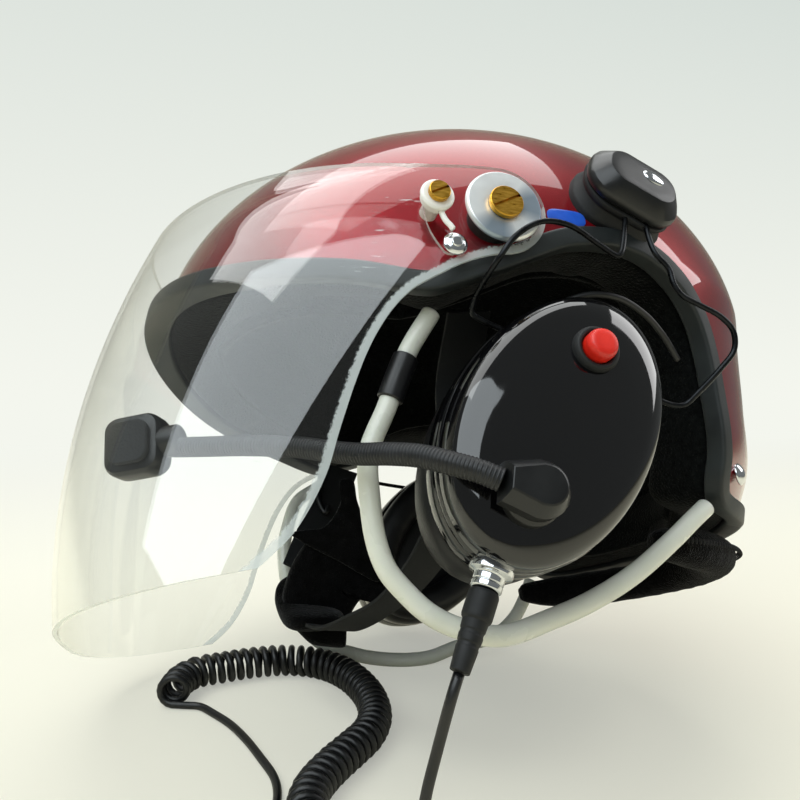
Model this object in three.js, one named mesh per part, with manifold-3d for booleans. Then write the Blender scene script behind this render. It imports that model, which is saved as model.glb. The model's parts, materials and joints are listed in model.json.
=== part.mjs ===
// Paramotor helmet with a clear bubble visor and a headset, in millimetres, +Z up.
// The helmet faces -X and leans onto its right side, as it lies on a table.
import * as THREE from 'three';
import { mergeVertices } from 'three/addons/utils/BufferGeometryUtils.js';
import Module from 'manifold-3d';

const wasm = await Module();
wasm.setup();

// Driving dimensions
const shellHalfLength = 149;
const shellHalfWidth = 129;
const crownHeight = 118; // crown above the widest line
const widestHeight = 47; // widest line above the ear centres
const shellForward = -3; // shell centre behind the ear centres
const shellWall = 4;
const linerWall = 18;
const liningWall = 7;
const trimHeight = 8;
const fit = 0.3; // running and seating gap between neighbours
const leanAngle = 27; // degrees, onto the right side
const restHeight = 124.7; // ear centres above the table
const overrun = 40; // how far a cutting tool passes its work

// Outlines shared by all shell layers
const skirtDrop = 104; // widest line down to the neck rim
// [share of the drop, share of the widest line's size]
const skirtShares = [[0.16, 0.978], [0.45, 0.945], [0.74, 0.905], [0.9, 0.85], [1.38, 0.79]];
const rimShares = [
  [-1.15, 0.54], [-0.805, 0.356], [-0.503, 0.258], [-0.322, 0.198], [-0.255, 0.208],
  [-0.141, 0.238], [-0.054, 0.268], [0.034, 0.299], [0.121, 0.312], [0.208, 0.314],
  [0.295, 0.295], [0.369, 0.258], [0.43, 0.211], [0.47, 0.154], [0.493, 0.067],
  [0.503, -0.067], [0.503, -0.201], [0.496, -0.268], [0.513, -0.318], [0.557, -0.34], [1.15, -0.34],
];
const outerFacets = 24;
const innerFacets = 16;

// Materials
const paint = new THREE.MeshStandardMaterial({ color: 0x7d1018, roughness: 0.18, metalness: 0.35 });
const foam = new THREE.MeshStandardMaterial({ color: 0x26282a, roughness: 0.95, metalness: 0 });
const cloth = new THREE.MeshStandardMaterial({ color: 0x111213, roughness: 0.95, metalness: 0 });
const velour = new THREE.MeshStandardMaterial({ color: 0x0b0b0c, roughness: 1, metalness: 0 });
const rubber = new THREE.MeshStandardMaterial({ color: 0x2b2f31, roughness: 0.6, metalness: 0 });
const clear = new THREE.MeshStandardMaterial({
  color: 0xe9eef0, roughness: 0.05, metalness: 0, transparent: true, opacity: 0.35,
});
const gloss = new THREE.MeshStandardMaterial({ color: 0x0c0d0f, roughness: 0.12, metalness: 0 });
const satin = new THREE.MeshStandardMaterial({ color: 0x17191b, roughness: 0.5, metalness: 0 });
const leatherette = new THREE.MeshStandardMaterial({ color: 0x101112, roughness: 0.55, metalness: 0 });
const milky = new THREE.MeshStandardMaterial({ color: 0xd8dcd4, roughness: 0.35, metalness: 0 });
const nylon = new THREE.MeshStandardMaterial({ color: 0xf1efe8, roughness: 0.45, metalness: 0 });
const brass = new THREE.MeshStandardMaterial({ color: 0xd8a93c, roughness: 0.3, metalness: 1 });
const silver = new THREE.MeshStandardMaterial({ color: 0xd9dcde, roughness: 0.22, metalness: 1 });
const wire = new THREE.MeshStandardMaterial({ color: 0x2a2c2e, roughness: 0.35, metalness: 0.8 });
const red = new THREE.MeshStandardMaterial({ color: 0xd8281c, roughness: 0.4, metalness: 0 });
const blue = new THREE.MeshStandardMaterial({ color: 0x1f47b4, roughness: 0.4, metalness: 0 });
const cable = new THREE.MeshStandardMaterial({ color: 0x141516, roughness: 0.6, metalness: 0 });

// Mesh helpers
const radians = THREE.MathUtils.degToRad;

function signedVolume(geometry) {
  const position = geometry.attributes.position;
  const index = geometry.index.array;
  const a = new THREE.Vector3();
  const b = new THREE.Vector3();
  const c = new THREE.Vector3();
  let sum = 0;
  for (let i = 0; i < index.length; i += 3) {
    a.fromBufferAttribute(position, index[i]);
    b.fromBufferAttribute(position, index[i + 1]);
    c.fromBufferAttribute(position, index[i + 2]);
    sum += a.dot(b.cross(c));
  }
  return sum / 6;
}

function flipped(geometry) {
  const index = geometry.index.array;
  for (let i = 0; i < index.length; i += 3) {
    [index[i + 1], index[i + 2]] = [index[i + 2], index[i + 1]];
  }
  return geometry;
}

function merged(geometry) {
  const plain = geometry.clone();
  plain.deleteAttribute('normal');
  plain.deleteAttribute('uv');
  return mergeVertices(plain);
}

function outward(geometry) {
  return signedVolume(geometry) < 0 ? flipped(geometry) : geometry;
}

// A closed surface through rings of points. A ring of one point is a pole.
function loft(rings, closed = false) {
  const points = [];
  const starts = rings.map((ring) => {
    const start = points.length;
    points.push(...ring);
    return start;
  });
  const index = [];
  const spans = closed ? rings.length : rings.length - 1;
  for (let i = 0; i < spans; i++) {
    const next = (i + 1) % rings.length;
    const count = Math.max(rings[i].length, rings[next].length);
    for (let j = 0; j < count; j++) {
      const k = (j + 1) % count;
      const [a, b] = [starts[i], starts[next]];
      if (rings[next].length > 1) index.push(rings[i].length > 1 ? a + j : a, b + k, b + j);
      if (rings[i].length > 1) index.push(a + j, a + k, rings[next].length > 1 ? b + k : b);
    }
  }
  if (!closed) {
    for (const i of [0, rings.length - 1]) {
      const ring = rings[i];
      if (ring.length === 1) continue;
      const middle = new THREE.Vector3();
      ring.forEach((point) => middle.addScaledVector(point, 1 / ring.length));
      points.push(middle);
      for (let j = 0; j < ring.length; j++) {
        const k = (j + 1) % ring.length;
        const edge = i === 0 ? [starts[i] + j, starts[i] + k] : [starts[i] + k, starts[i] + j];
        index.push(...edge.reverse(), points.length - 1);
      }
    }
  }
  const geometry = new THREE.BufferGeometry().setFromPoints(points);
  geometry.setIndex(index);
  return outward(geometry);
}

function solid(geometry) {
  const mesh = merged(geometry);
  const data = { numProp: 3, vertProperties: mesh.attributes.position.array, triVerts: mesh.index.array };
  data.triVerts = new Uint32Array(data.triVerts);
  return new wasm.Manifold(new wasm.Mesh(data));
}

const sliver = 0.1; // edges shorter than this are merged after a cut

function geometryOf(manifold) {
  const { vertProperties, triVerts } = manifold.simplify(sliver).getMesh();
  const geometry = new THREE.BufferGeometry();
  geometry.setAttribute('position', new THREE.BufferAttribute(new Float32Array(vertProperties), 3));
  geometry.setIndex([...triVerts]);
  return geometry;
}

function cut(geometry, ...tools) {
  return geometryOf(tools.reduce((body, tool) => body.subtract(solid(tool)), solid(geometry)));
}

function join(geometry, ...others) {
  return geometryOf(others.reduce((body, other) => body.add(solid(other)), solid(geometry)));
}

function common(geometry, other) {
  return geometryOf(solid(geometry).intersect(solid(other)));
}

function fromShares(shares, unit) {
  return shares.map(([x, y]) => new THREE.Vector2(x * unit, y * unit));
}

// A prism whose outline lies in the side view (x, z) and which runs through y.
function sidePrism(outline, halfDepth) {
  const options = { depth: 2 * halfDepth, bevelEnabled: false, curveSegments: 8 };
  const geometry = new THREE.ExtrudeGeometry(new THREE.Shape(outline), options);
  geometry.rotateX(Math.PI / 2);
  return geometry.translate(0, halfDepth, 0);
}

function tube(points, radius, sides, steps, closed = false) {
  const curve = new THREE.CatmullRomCurve3(points, closed, 'centripetal');
  const section = [];
  for (let i = 0; i < sides; i++) {
    const turn = (2 * Math.PI * i) / sides;
    section.push(new THREE.Vector2(radius * Math.cos(turn), radius * Math.sin(turn)));
  }
  const options = { steps, extrudePath: curve, bevelEnabled: false };
  return outward(merged(new THREE.ExtrudeGeometry(new THREE.Shape(section), options)));
}

// A turned piece whose axis is Y; its outer end points to -Y.
function turned(profile, segments = 20) {
  const points = profile.map(([radius, out]) => new THREE.Vector2(radius, out));
  const geometry = new THREE.LatheGeometry(points, segments);
  geometry.rotateX(Math.PI);
  return outward(merged(geometry));
}

function mirroredY(geometry) {
  const copy = merged(geometry);
  copy.scale(1, -1, 1);
  return flipped(copy);
}

const helmet = new THREE.Group();

function add(parent, name, geometry, material) {
  const mesh = new THREE.Mesh(geometry, material);
  mesh.name = name;
  parent.add(mesh);
  return mesh;
}

// Shell layers: a dome on a drawn-in skirt, moved out by an offset
function shellRing(offset, height, scale, facets, forward) {
  const ring = [];
  for (let i = 0; i < facets; i++) {
    const turn = (2 * Math.PI * i) / facets;
    const length = shellHalfLength * scale + offset + (Math.cos(turn) < 0 ? forward : 0);
    const width = shellHalfWidth * scale + offset;
    ring.push(new THREE.Vector3(-shellForward + length * Math.cos(turn), width * Math.sin(turn), height));
  }
  return ring;
}

function dome(offset, facets = outerFacets, forward = 0) {
  const rows = Math.round(facets / 4);
  const rings = [[new THREE.Vector3(-shellForward, 0, widestHeight + crownHeight + offset)]];
  for (let i = 1; i <= rows; i++) {
    const turn = (Math.PI / 2) * (i / rows);
    const width = shellHalfWidth + offset;
    const scale = (width * Math.sin(turn) - offset) / shellHalfWidth;
    rings.push(shellRing(offset, widestHeight + (crownHeight + offset) * Math.cos(turn), scale, facets, forward));
  }
  for (const [drop, scale] of skirtShares) {
    rings.push(shellRing(offset, widestHeight - skirtDrop * drop, scale, facets, forward));
  }
  return loft(rings);
}

// The rim line, moved into the shell by an inset
function rimLine(inset) {
  const line = fromShares(rimShares, shellHalfLength);
  const normals = line.slice(1).map((point, i) => {
    const run = point.clone().sub(line[i]).normalize();
    return new THREE.Vector2(-run.y, run.x);
  });
  return line.map((point, i) => {
    const before = normals[Math.max(0, i - 1)];
    const after = normals[Math.min(normals.length - 1, i)];
    const middle = before.clone().add(after).normalize();
    return point.clone().addScaledVector(middle, inset / middle.dot(after));
  });
}

// All that lies outside the rim: the face, the ears and below the neck
function opening(inset) {
  const line = rimLine(inset);
  const low = -(skirtDrop + 2 * overrun);
  const outline = [...line, new THREE.Vector2(line[line.length - 1].x, low), new THREE.Vector2(line[0].x, low)];
  return sidePrism(outline.reverse(), shellHalfWidth + overrun);
}

function post(x, z, radius, from, to, segments = 16) {
  const geometry = new THREE.CylinderGeometry(radius, radius, Math.abs(to - from), segments);
  return geometry.translate(x, (from + to) / 2, z);
}

const trimProud = 3; // outer lip of the trim, proud of the shell
const trimInside = 1.4; // inner lip of the trim
const trimNose = 4; // extra forward swell of the trim above the brow
const trimSeat = 2; // how deep the shell's edge sits in the trim
const facetSag = 1.5; // how far flat facets cut inside the curve
const linerOut = -(shellWall + trimInside + fit + facetSag);
const linerIn = linerOut - linerWall;
const liningIn = linerIn - fit - liningWall;
const linerInset = 10; // foam edge kept behind the rim
const liningInset = 1;

// Visor mounting, in side view
const pivot = new THREE.Vector2(-21.3, 56.8);
const bush = new THREE.Vector2(-46.8, 59.8);
const stud = new THREE.Vector2(-41.2, 41.7);
const boltRadius = 3;
const bushNeckRadius = 3.4;

const boltHoles = [
  post(pivot.x, pivot.y, boltRadius + fit, -shellHalfWidth - overrun, shellHalfWidth + overrun, 12),
  post(bush.x, bush.y, boltRadius + fit, -shellHalfWidth - overrun, shellHalfWidth + overrun, 12),
];
const outerShell = cut(dome(0), dome(-shellWall), opening(trimSeat), ...boltHoles);
const trimBody = cut(dome(trimProud, outerFacets, trimNose), dome(-shellWall - trimInside), opening(0));
const shellSeat = cut(dome(fit), dome(-shellWall - fit), opening(trimSeat - fit));
const edgeTrim = cut(common(trimBody, opening(trimHeight)), shellSeat);
const impactLiner = cut(dome(linerOut, innerFacets), dome(linerIn, innerFacets), opening(linerInset));
const liningBlank = cut(dome(linerOut, innerFacets), dome(liningIn, innerFacets), opening(liningInset));
const linerSeat = cut(dome(linerOut + overrun, innerFacets), dome(linerIn - fit, innerFacets), opening(linerInset - fit));
const comfortLining = cut(liningBlank, linerSeat);
add(helmet, 'outer_shell', outerShell, paint);
add(helmet, 'edge_trim', edgeTrim, rubber);
add(helmet, 'impact_liner', impactLiner, foam);
add(helmet, 'comfort_lining', comfortLining, cloth);

// Visor: rows of U-shaped curves between a bottom and a top one, straightened behind the temples
const visorSheet = 1.6;
const visorBottom = { back: -103.3, depth: 79.8, halfWidth: 119.6, power: 2.95, height: -66.9, slope: 0.09 };
const visorTop = { back: -15.4, depth: 132.7, halfWidth: 135.5, power: 1.74, height: 69.4, slope: -0.29 };
const visorBulge = 13.7; // forward swell halfway up
const visorTail = 30; // straight length behind the U
const visorRows = 5;
const visorColumns = 18;
const lobeTop = 80; // least height of the sheet at the pivots

function visorPoint(row, column) {
  const mix = (key) => visorBottom[key] + (visorTop[key] - visorBottom[key]) * row;
  const turn = Math.PI * (column - 0.5);
  const side = Math.sign(Math.sin(turn));
  const reach = Math.pow(Math.max(0, Math.cos(turn)), 2 / mix('power'));
  const y = mix('halfWidth') * side * Math.pow(Math.abs(Math.sin(turn)), 2 / mix('power'));
  const x = mix('back') - mix('depth') * reach;
  const height = mix('height') + mix('slope') * (x - mix('back'));
  const lift = row === 1 ? Math.max(0, lobeTop - height) : 0;
  return new THREE.Vector3(x - visorBulge * 4 * row * (1 - row) * Math.max(0, Math.cos(turn)), y, height + lift);
}

function visorGrid() {
  return Array.from({ length: visorRows + 1 }, (unused, i) => {
    const row = i / visorRows;
    const points = [];
    for (let j = 0; j <= visorColumns; j++) points.push(visorPoint(row, j / visorColumns));
    const ends = [points[0], points[visorColumns]].map((point) => point.clone());
    ends.forEach((point) => {
      point.x += visorTail;
      if (i === visorRows) point.z = lobeTop;
    });
    return [ends[0], ...points, ends[1]];
  });
}

// A sheet of even thickness inside a grid of points
function sheet(grid, thickness) {
  const rows = grid.length;
  const columns = grid[0].length;
  const at = (i, j) => grid[Math.min(rows - 1, Math.max(0, i))][Math.min(columns - 1, Math.max(0, j))];
  const inner = grid.map((row, i) => row.map((point, j) => {
    const along = at(i, j + 1).clone().sub(at(i, j - 1));
    const up = at(i + 1, j).clone().sub(at(i - 1, j));
    return point.clone().addScaledVector(along.cross(up).normalize(), thickness);
  }));
  const points = [...grid.flat(), ...inner.flat()];
  const far = rows * columns;
  const index = [];
  const quad = (a, b, c, d) => index.push(a, b, c, a, c, d);
  for (let i = 0; i < rows - 1; i++) {
    for (let j = 0; j < columns - 1; j++) {
      const a = i * columns + j;
      quad(a, a + 1, a + columns + 1, a + columns);
      quad(far + a + columns, far + a + columns + 1, far + a + 1, far + a);
    }
  }
  for (let j = 0; j < columns - 1; j++) {
    const top = (rows - 1) * columns + j;
    quad(j + 1, j, far + j, far + j + 1);
    quad(top, top + 1, far + top + 1, far + top);
  }
  for (let i = 0; i < rows - 1; i++) {
    const a = i * columns;
    const b = a + columns - 1;
    quad(a, a + columns, far + a + columns, far + a);
    quad(b + columns, b, far + b, far + b + columns);
  }
  const geometry = new THREE.BufferGeometry().setFromPoints(points);
  geometry.setIndex(index);
  return outward(geometry);
}

const lobeRadius = 17.7;
const lobeCentre = new THREE.Vector2(-20.5, 57.3);
const lobeSteps = 8;
const visorRearEdge = [
  [-125, -110], [-125, -75], [-113, -66], [-105, -59], [-101, -54], [-96, -46], [-92, -38], [-88.5, -28],
  [-85.5, -20], [-81.5, -10], [-77, 0], [-72, 9], [-65, 18.5], [-58, 25], [-52, 28.5], [-46, 31.5],
  [-40, 34.5], [-32, 37.4], [-26, 39],
];
const visorTopEdge = [[-30, 76], [-48, 78.6], [-62, 84.5], [-62, 140], [-220, 140], [-220, -110]];
const visorOutline = visorRearEdge.map(([x, z]) => new THREE.Vector2(x, z));
for (let i = 0; i <= lobeSteps; i++) {
  const turn = Math.PI * (i / lobeSteps - 0.5);
  const offset = new THREE.Vector2(Math.cos(turn), Math.sin(turn)).multiplyScalar(lobeRadius);
  visorOutline.push(lobeCentre.clone().add(offset));
}
visorOutline.push(...visorTopEdge.map(([x, z]) => new THREE.Vector2(x, z)));

const visorTravel = 40; // degrees, closed to open
const slotHalfWidth = 3.7;
const slotSteps = 6;
const bushArm = bush.clone().sub(pivot);
const slotEnd = (slotHalfWidth + 3 * fit) / bushArm.length(); // angle of a slot end beyond the bush
const slotStart = bushArm.angle() - slotEnd;
const slotSweep = radians(visorTravel) + 2 * slotEnd;
const slotOutline = [];
for (const edge of [1, -1]) {
  for (let i = 0; i <= slotSteps; i++) {
    const turn = slotStart + slotSweep * (edge > 0 ? i / slotSteps : 1 - i / slotSteps);
    const reach = bushArm.length() + edge * slotHalfWidth;
    slotOutline.push(new THREE.Vector2(Math.cos(turn), Math.sin(turn)).multiplyScalar(reach).add(pivot));
  }
}
const visorCuts = [
  sidePrism(slotOutline, shellHalfWidth + overrun),
  post(pivot.x, pivot.y, boltRadius + 2 * fit, -shellHalfWidth - overrun, shellHalfWidth + overrun, 12),
];
const visorBlank = common(sheet(visorGrid(), visorSheet), sidePrism(visorOutline, shellHalfWidth + overrun));
const visor = add(helmet, 'visor', cut(visorBlank, ...visorCuts), clear);

// Pieces that come in a left one at -Y and a mirrored right one
function pair(name, geometry, material) {
  add(helmet, `${name}_left`, geometry, material);
  add(helmet, `${name}_right`, mirroredY(geometry), material);
}

const visorFace = visorTop.halfWidth; // outer face of the visor at its pivots
const washerRadius = 10.4;
const washerFace = visorFace - visorSheet - 3.6;
const discRadius = 15;
const discThick = 2;
const headRadius = 6.6;
const headThick = 2.2;
const slotWide = 1.2;
const screwTurn = 25; // degrees

function discOnPost(x, z, profile, segments) {
  return turned(profile, segments).translate(x, 0, z);
}

const washer = cut(
  post(pivot.x, pivot.y, washerRadius, -shellHalfWidth + linerWall, -washerFace, 18),
  dome(fit),
  post(pivot.x, pivot.y, boltRadius + fit, -shellHalfWidth + 2 * linerWall, -visorFace - overrun, 12),
);
pair('pivot_washer', washer, rubber);

const discBack = visorFace + fit;
const disc = discOnPost(pivot.x, pivot.y, [
  [boltRadius + fit, discBack], [discRadius, discBack], [discRadius, discBack + discThick / 2],
  [discRadius - 1, discBack + discThick], [boltRadius + fit, discBack + discThick], [boltRadius + fit, discBack],
], 18);
pair('pivot_disc', disc, silver);

function slottedScrew(place, back, radius, shank, shankEnd, turn) {
  const top = back + headThick;
  const body = discOnPost(place.x, place.y, [
    [0, shankEnd], [shank, shankEnd], [shank, back], [radius, back],
    [radius, top - 0.6], [radius - 0.6, top], [0, top],
  ], 14);
  const groove = new THREE.BoxGeometry(2 * radius + overrun, headThick, slotWide);
  groove.rotateY(-radians(turn));
  groove.translate(place.x, -top - headThick / 4, place.y);
  return cut(body, groove);
}

const shellAtPivot = 122.5;
pair('pivot_screw', slottedScrew(pivot, discBack + discThick + fit, headRadius, boltRadius, shellAtPivot, screwTurn), brass);

// Guide bush that runs in the visor's slot, with its screw
const flangeRadius = 6.5;
const flangeBack = 132.9;
const flangeThick = 4.6;
const bushBlank = discOnPost(bush.x, bush.y, [
  [boltRadius / 2 + fit, shellHalfWidth - linerWall], [bushNeckRadius, shellHalfWidth - linerWall],
  [bushNeckRadius, flangeBack], [flangeRadius - 0.7, flangeBack], [flangeRadius - 0.7, flangeBack + flangeThick / 2],
  [flangeRadius, flangeBack + flangeThick / 2], [flangeRadius, flangeBack + flangeThick - 0.8],
  [flangeRadius - 0.8, flangeBack + flangeThick], [boltRadius / 2 + fit, flangeBack + flangeThick],
  [boltRadius / 2 + fit, shellHalfWidth - linerWall],
], 14);
// Tethered locking pin of the visor, its strap moulded onto the bush
const studFace = 132.6;
const studRadius = 4.6;
const tetherRoute = [
  [-45.6, -134.4, 55.5], [-45.2, -134.6, 52.6], [-44.3, -134.8, 50], [-42.7, -134.7, 48], [-42, -134.6, 46.9],
].map((place) => new THREE.Vector3(...place));
const tether = tube(tetherRoute, 1.1, 5, 4);
pair('guide_bush', join(cut(bushBlank, dome(fit)), tether), nylon);
pair('bush_screw', slottedScrew(bush, flangeBack + flangeThick + fit, 4.1, boltRadius / 2, 117.5, screwTurn), brass);
const lockPin = discOnPost(stud.x, stud.y, [
  [0, studFace], [studRadius, studFace], [studRadius, studFace + 0.8], [studRadius - 1.4, studFace + 2],
  [1.6, studFace + 2.6], [0, studFace + 2.6],
], 12);
pair('lock_pin', lockPin, silver);

// Size sticker
const sticker = { x: 9, z: 59.2, length: 16.6, width: 7.5, corner: 2.5, thick: 0.4 };
function roundedOutline(length, width, corner) {
  const shape = new THREE.Shape();
  const [a, b] = [length / 2, width / 2];
  shape.moveTo(-a + corner, -b);
  shape.lineTo(a - corner, -b);
  shape.quadraticCurveTo(a, -b, a, -b + corner);
  shape.lineTo(a, b - corner);
  shape.quadraticCurveTo(a, b, a - corner, b);
  shape.lineTo(-a + corner, b);
  shape.quadraticCurveTo(-a, b, -a, b - corner);
  shape.lineTo(-a, -b + corner);
  shape.quadraticCurveTo(-a, -b, -a + corner, -b);
  return shape;
}
function roundedBlock(length, width, corner, depth, bevel = 0, curveSegments = 3) {
  return new THREE.ExtrudeGeometry(roundedOutline(length - 2 * bevel, width - 2 * bevel, corner), {
    depth: depth - 2 * bevel, bevelEnabled: bevel > 0, bevelThickness: bevel, bevelSize: bevel,
    bevelSegments: 2, curveSegments,
  }).translate(0, 0, bevel);
}
const stickerPrism = roundedBlock(sticker.length, sticker.width, sticker.corner, overrun);
stickerPrism.rotateX(Math.PI / 2);
stickerPrism.rotateY(radians(3));
stickerPrism.translate(sticker.x, -shellHalfWidth + linerWall, sticker.z);
const stickerSkin = cut(dome(fit + sticker.thick), dome(fit));
add(helmet, 'size_sticker', common(stickerSkin, stickerPrism), blue);

// Chrome rivets that hold the rear of the trim
const rivetRadius = 5;
const rivetPlace = { x: 93.5, z: -34.6, scale: 0.883 };
const rivetLength = shellHalfLength * rivetPlace.scale;
const rivetWidth = shellHalfWidth * rivetPlace.scale;
const rivetY = -rivetWidth * Math.sqrt(1 - ((rivetPlace.x + shellForward) / rivetLength) ** 2);
const rivetOut = new THREE.Vector3((rivetPlace.x + shellForward) / rivetLength ** 2, rivetY / rivetWidth ** 2, 0);
const rivetBlank = turned([
  [0, -2], [rivetRadius, -2], [rivetRadius, 1.2], [rivetRadius * 0.75, 2.6], [rivetRadius * 0.35, 3.4], [0, 3.6],
], 14);
rivetBlank.applyQuaternion(new THREE.Quaternion().setFromUnitVectors(new THREE.Vector3(0, -1, 0), rivetOut.normalize()));
rivetBlank.translate(rivetPlace.x, rivetY, rivetPlace.z);
pair('rear_rivet', cut(rivetBlank, dome(fit)), silver);

// Headset: a clamp on the shell, a wire yoke that swings out and an ear cup that tilts in it
const cupHalfWidth = 37.6;
const cupHalfHeight = 54.8;
const cupRise = 2.8; // cup's middle above the yoke's foot point
const cupSeam = 118; // plane of the seam between body and cover
const cupSlices = 20;
const wireRadius = 1.1;
const tiltAxisHeight = 37.5;
const tiltAxisFace = 116;
const socketDepth = 3.3;
const clampPlace = new THREE.Vector3(35, -124, 68);
const headsetSides = {
  left: { cupX: -12.9, cupZ: -28.6, lean: 25, cupLean: 36.3, shorter: 0, pocket: 1.8 },
  right: { cupX: 16.6, cupZ: -22.1, lean: 11.3, cupLean: 45, shorter: 20, pocket: 4.6 },
};

function oval(halfWidth, halfHeight, out, slices = cupSlices) {
  const ring = [];
  for (let i = 0; i < slices; i++) {
    const turn = (2 * Math.PI * i) / slices;
    ring.push(new THREE.Vector3(halfWidth * Math.cos(turn), -out, halfHeight * Math.sin(turn)));
  }
  return ring;
}

function ovals(profile, closed = false, slices = cupSlices) {
  return loft(profile.map(([a, b, out]) => (a === 0 ? [new THREE.Vector3(0, -out, 0)] : oval(a, b, out, slices))), closed);
}

const cupBodyBlank = ovals([
  [0, 0, 104], [34.6, 52, 104], [cupHalfWidth, cupHalfHeight, 110.5], [cupHalfWidth, cupHalfHeight, 119],
  [37, 54.2, 122], [34.4, 51.4, 122], [34.4, 51.4, 107.5], [0, 0, 107.5],
]);
const portRadius = 15;
const cupCover = ovals([
  [0, 0, 140.4], [13, 20, 139.7], [24, 37.5, 138], [31, 48.6, 135.8], [34.7, 54.2, 132.6],
  [36.8, 54.6, 122.3], [34.6, 52, 122.3], [32.4, 51, 131], [22, 35, 135.4], [0, 0, 137.6],
]);
const cushionSteps = 7;
const cushionMiddle = { width: 27, height: 46, out: 93.9, half: 9.2, rise: 9.8 };
const webFaces = [99.6, 103.7];
const cushionProfile = [[0, 0, webFaces[1]]];
for (let i = 0; i <= cushionSteps; i++) {
  const turn = Math.PI / 2 - ((1.5 * Math.PI + 0.2) * i) / cushionSteps;
  const reach = cushionMiddle.half * Math.cos(turn);
  const rise = cushionMiddle.rise * Math.sin(turn);
  cushionProfile.push([cushionMiddle.width + reach, cushionMiddle.height + reach, cushionMiddle.out + rise]);
}
const webEdge = cushionMiddle.half * 0.95;
cushionProfile.push([cushionMiddle.width - webEdge, cushionMiddle.height - webEdge, webFaces[0]], [0, 0, webFaces[0]]);
const cupCushion = ovals(cushionProfile);
const speaker = turned([[0, 107.8], [18, 107.8], [18, 110], [8, 114], [0, 114]], 14);

// Where a line across the cup meets its side
function cupSides(height, lean) {
  const [c, s] = [Math.cos(radians(lean)), Math.sin(radians(lean))];
  const up = height - cupRise * c;
  const two = c ** 2 / cupHalfWidth ** 2 + s ** 2 / cupHalfHeight ** 2;
  const one = 2 * up * s * c * (1 / cupHalfHeight ** 2 - 1 / cupHalfWidth ** 2);
  const none = up ** 2 * (s ** 2 / cupHalfWidth ** 2 + c ** 2 / cupHalfHeight ** 2) - 1;
  const root = Math.sqrt(one ** 2 - 4 * two * none);
  return [-1, 1].map((sign) => cupRise * s + (-one + sign * root) / (2 * two));
}

// Yoke route as [along, up, out] from the cup's centre, leaning with the yoke
const pinHeight = 106;
const pinFace = 134;
const pinEnds = [5, 11];
const shoulder = 68;
function yokeRoute(side, ends) {
  const squeeze = 1 - side.shorter / (pinHeight - shoulder);
  return [
    [ends[0], tiltAxisHeight, tiltAxisFace], [-34, tiltAxisHeight, tiltAxisFace], [-38.4, 38.2, 116.8],
    [-39.9, 41.5, 120.5], [-39.9, 47, 130], [-38.9, 52.4, 136.6], [-36.5, 61, 139.6], [-28.6, 72.2, 139.8],
    [-17.9, 76.2, 139.4], [-5, 76, 137], [4, 75.6, 136], [5.1, 78, 136], [3.4, 98, 134.6],
    [3, 102.6, pinFace], [3.6, 105.4, pinFace], [pinEnds[0], pinHeight, pinFace],
    [(pinEnds[0] + pinEnds[1]) / 2, pinHeight, pinFace], [pinEnds[1], pinHeight, pinFace],
    [12.4, 105.4, pinFace], [12.8, 102.6, pinFace], [12.4, 98, 134.6], [18.3, 84.8, 136],
    [25, 80.6, 136], [29, 74.6, 135.6], [33, 71.8, 135.5], [40.6, 71.2, 135.4], [50.5, 70.6, 135], [57.3, 68.1, 133.5],
    [60.4, 62.1, 131], [58.2, 54, 127.5], [54.6, 44.4, 120.5], [52, 39.4, 117], [47.5, tiltAxisHeight, tiltAxisFace],
    [ends[1], tiltAxisHeight, tiltAxisFace],
  ].map(([along, up, out]) => {
    const squeezed = up > shoulder ? shoulder + (up - shoulder) * squeeze : up;
    return new THREE.Vector3(along, -out, squeezed);
  });
}

function leaning(side) {
  const frame = new THREE.Matrix4().makeRotationY(radians(side.lean));
  return frame.setPosition(side.cupX, 0, side.cupZ);
}

function cupFrame(side) {
  const [c, s] = [Math.cos(radians(side.cupLean)), Math.sin(radians(side.cupLean))];
  const frame = new THREE.Matrix4().makeRotationY(radians(side.cupLean));
  return frame.setPosition(side.cupX + cupRise * s, 0, side.cupZ + cupRise * c);
}

// Everything is drawn on the left and mirrored where it belongs to the right
function placed(geometry, frame, mirror) {
  const copy = merged(geometry).applyMatrix4(frame);
  return mirror ? mirroredY(copy) : copy;
}

const yokeSteps = 46;
for (const [name, side] of Object.entries(headsetSides)) {
  const mirror = name === 'right';
  const relative = side.cupLean - side.lean;
  const walls = cupSides(tiltAxisHeight, relative);
  const ends = [walls[0] + socketDepth - fit, walls[1] - socketDepth + fit];
  const yoke = tube(yokeRoute(side, ends), wireRadius, 5, yokeSteps);
  add(helmet, `yoke_${name}`, placed(yoke, leaning(side), mirror), wire);
  const sockets = walls.map((wall, i) => {
    const socket = new THREE.CylinderGeometry(wireRadius + fit, wireRadius + fit, 2 * socketDepth, 10);
    socket.rotateZ(Math.PI / 2);
    return socket.translate(wall, -tiltAxisFace, tiltAxisHeight).applyMatrix4(leaning(side));
  });
  const port = post(0, 0, portRadius, -90, -107.7, 20).applyMatrix4(cupFrame(side));
  headsetSides[name].body = cut(placed(cupBodyBlank, cupFrame(side), false), port, ...sockets);
  add(helmet, `cup_cushion_${name}`, placed(cupCushion, cupFrame(side), mirror), leatherette);
  add(helmet, `speaker_${name}`, placed(speaker, cupFrame(side), mirror), satin);
}

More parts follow.
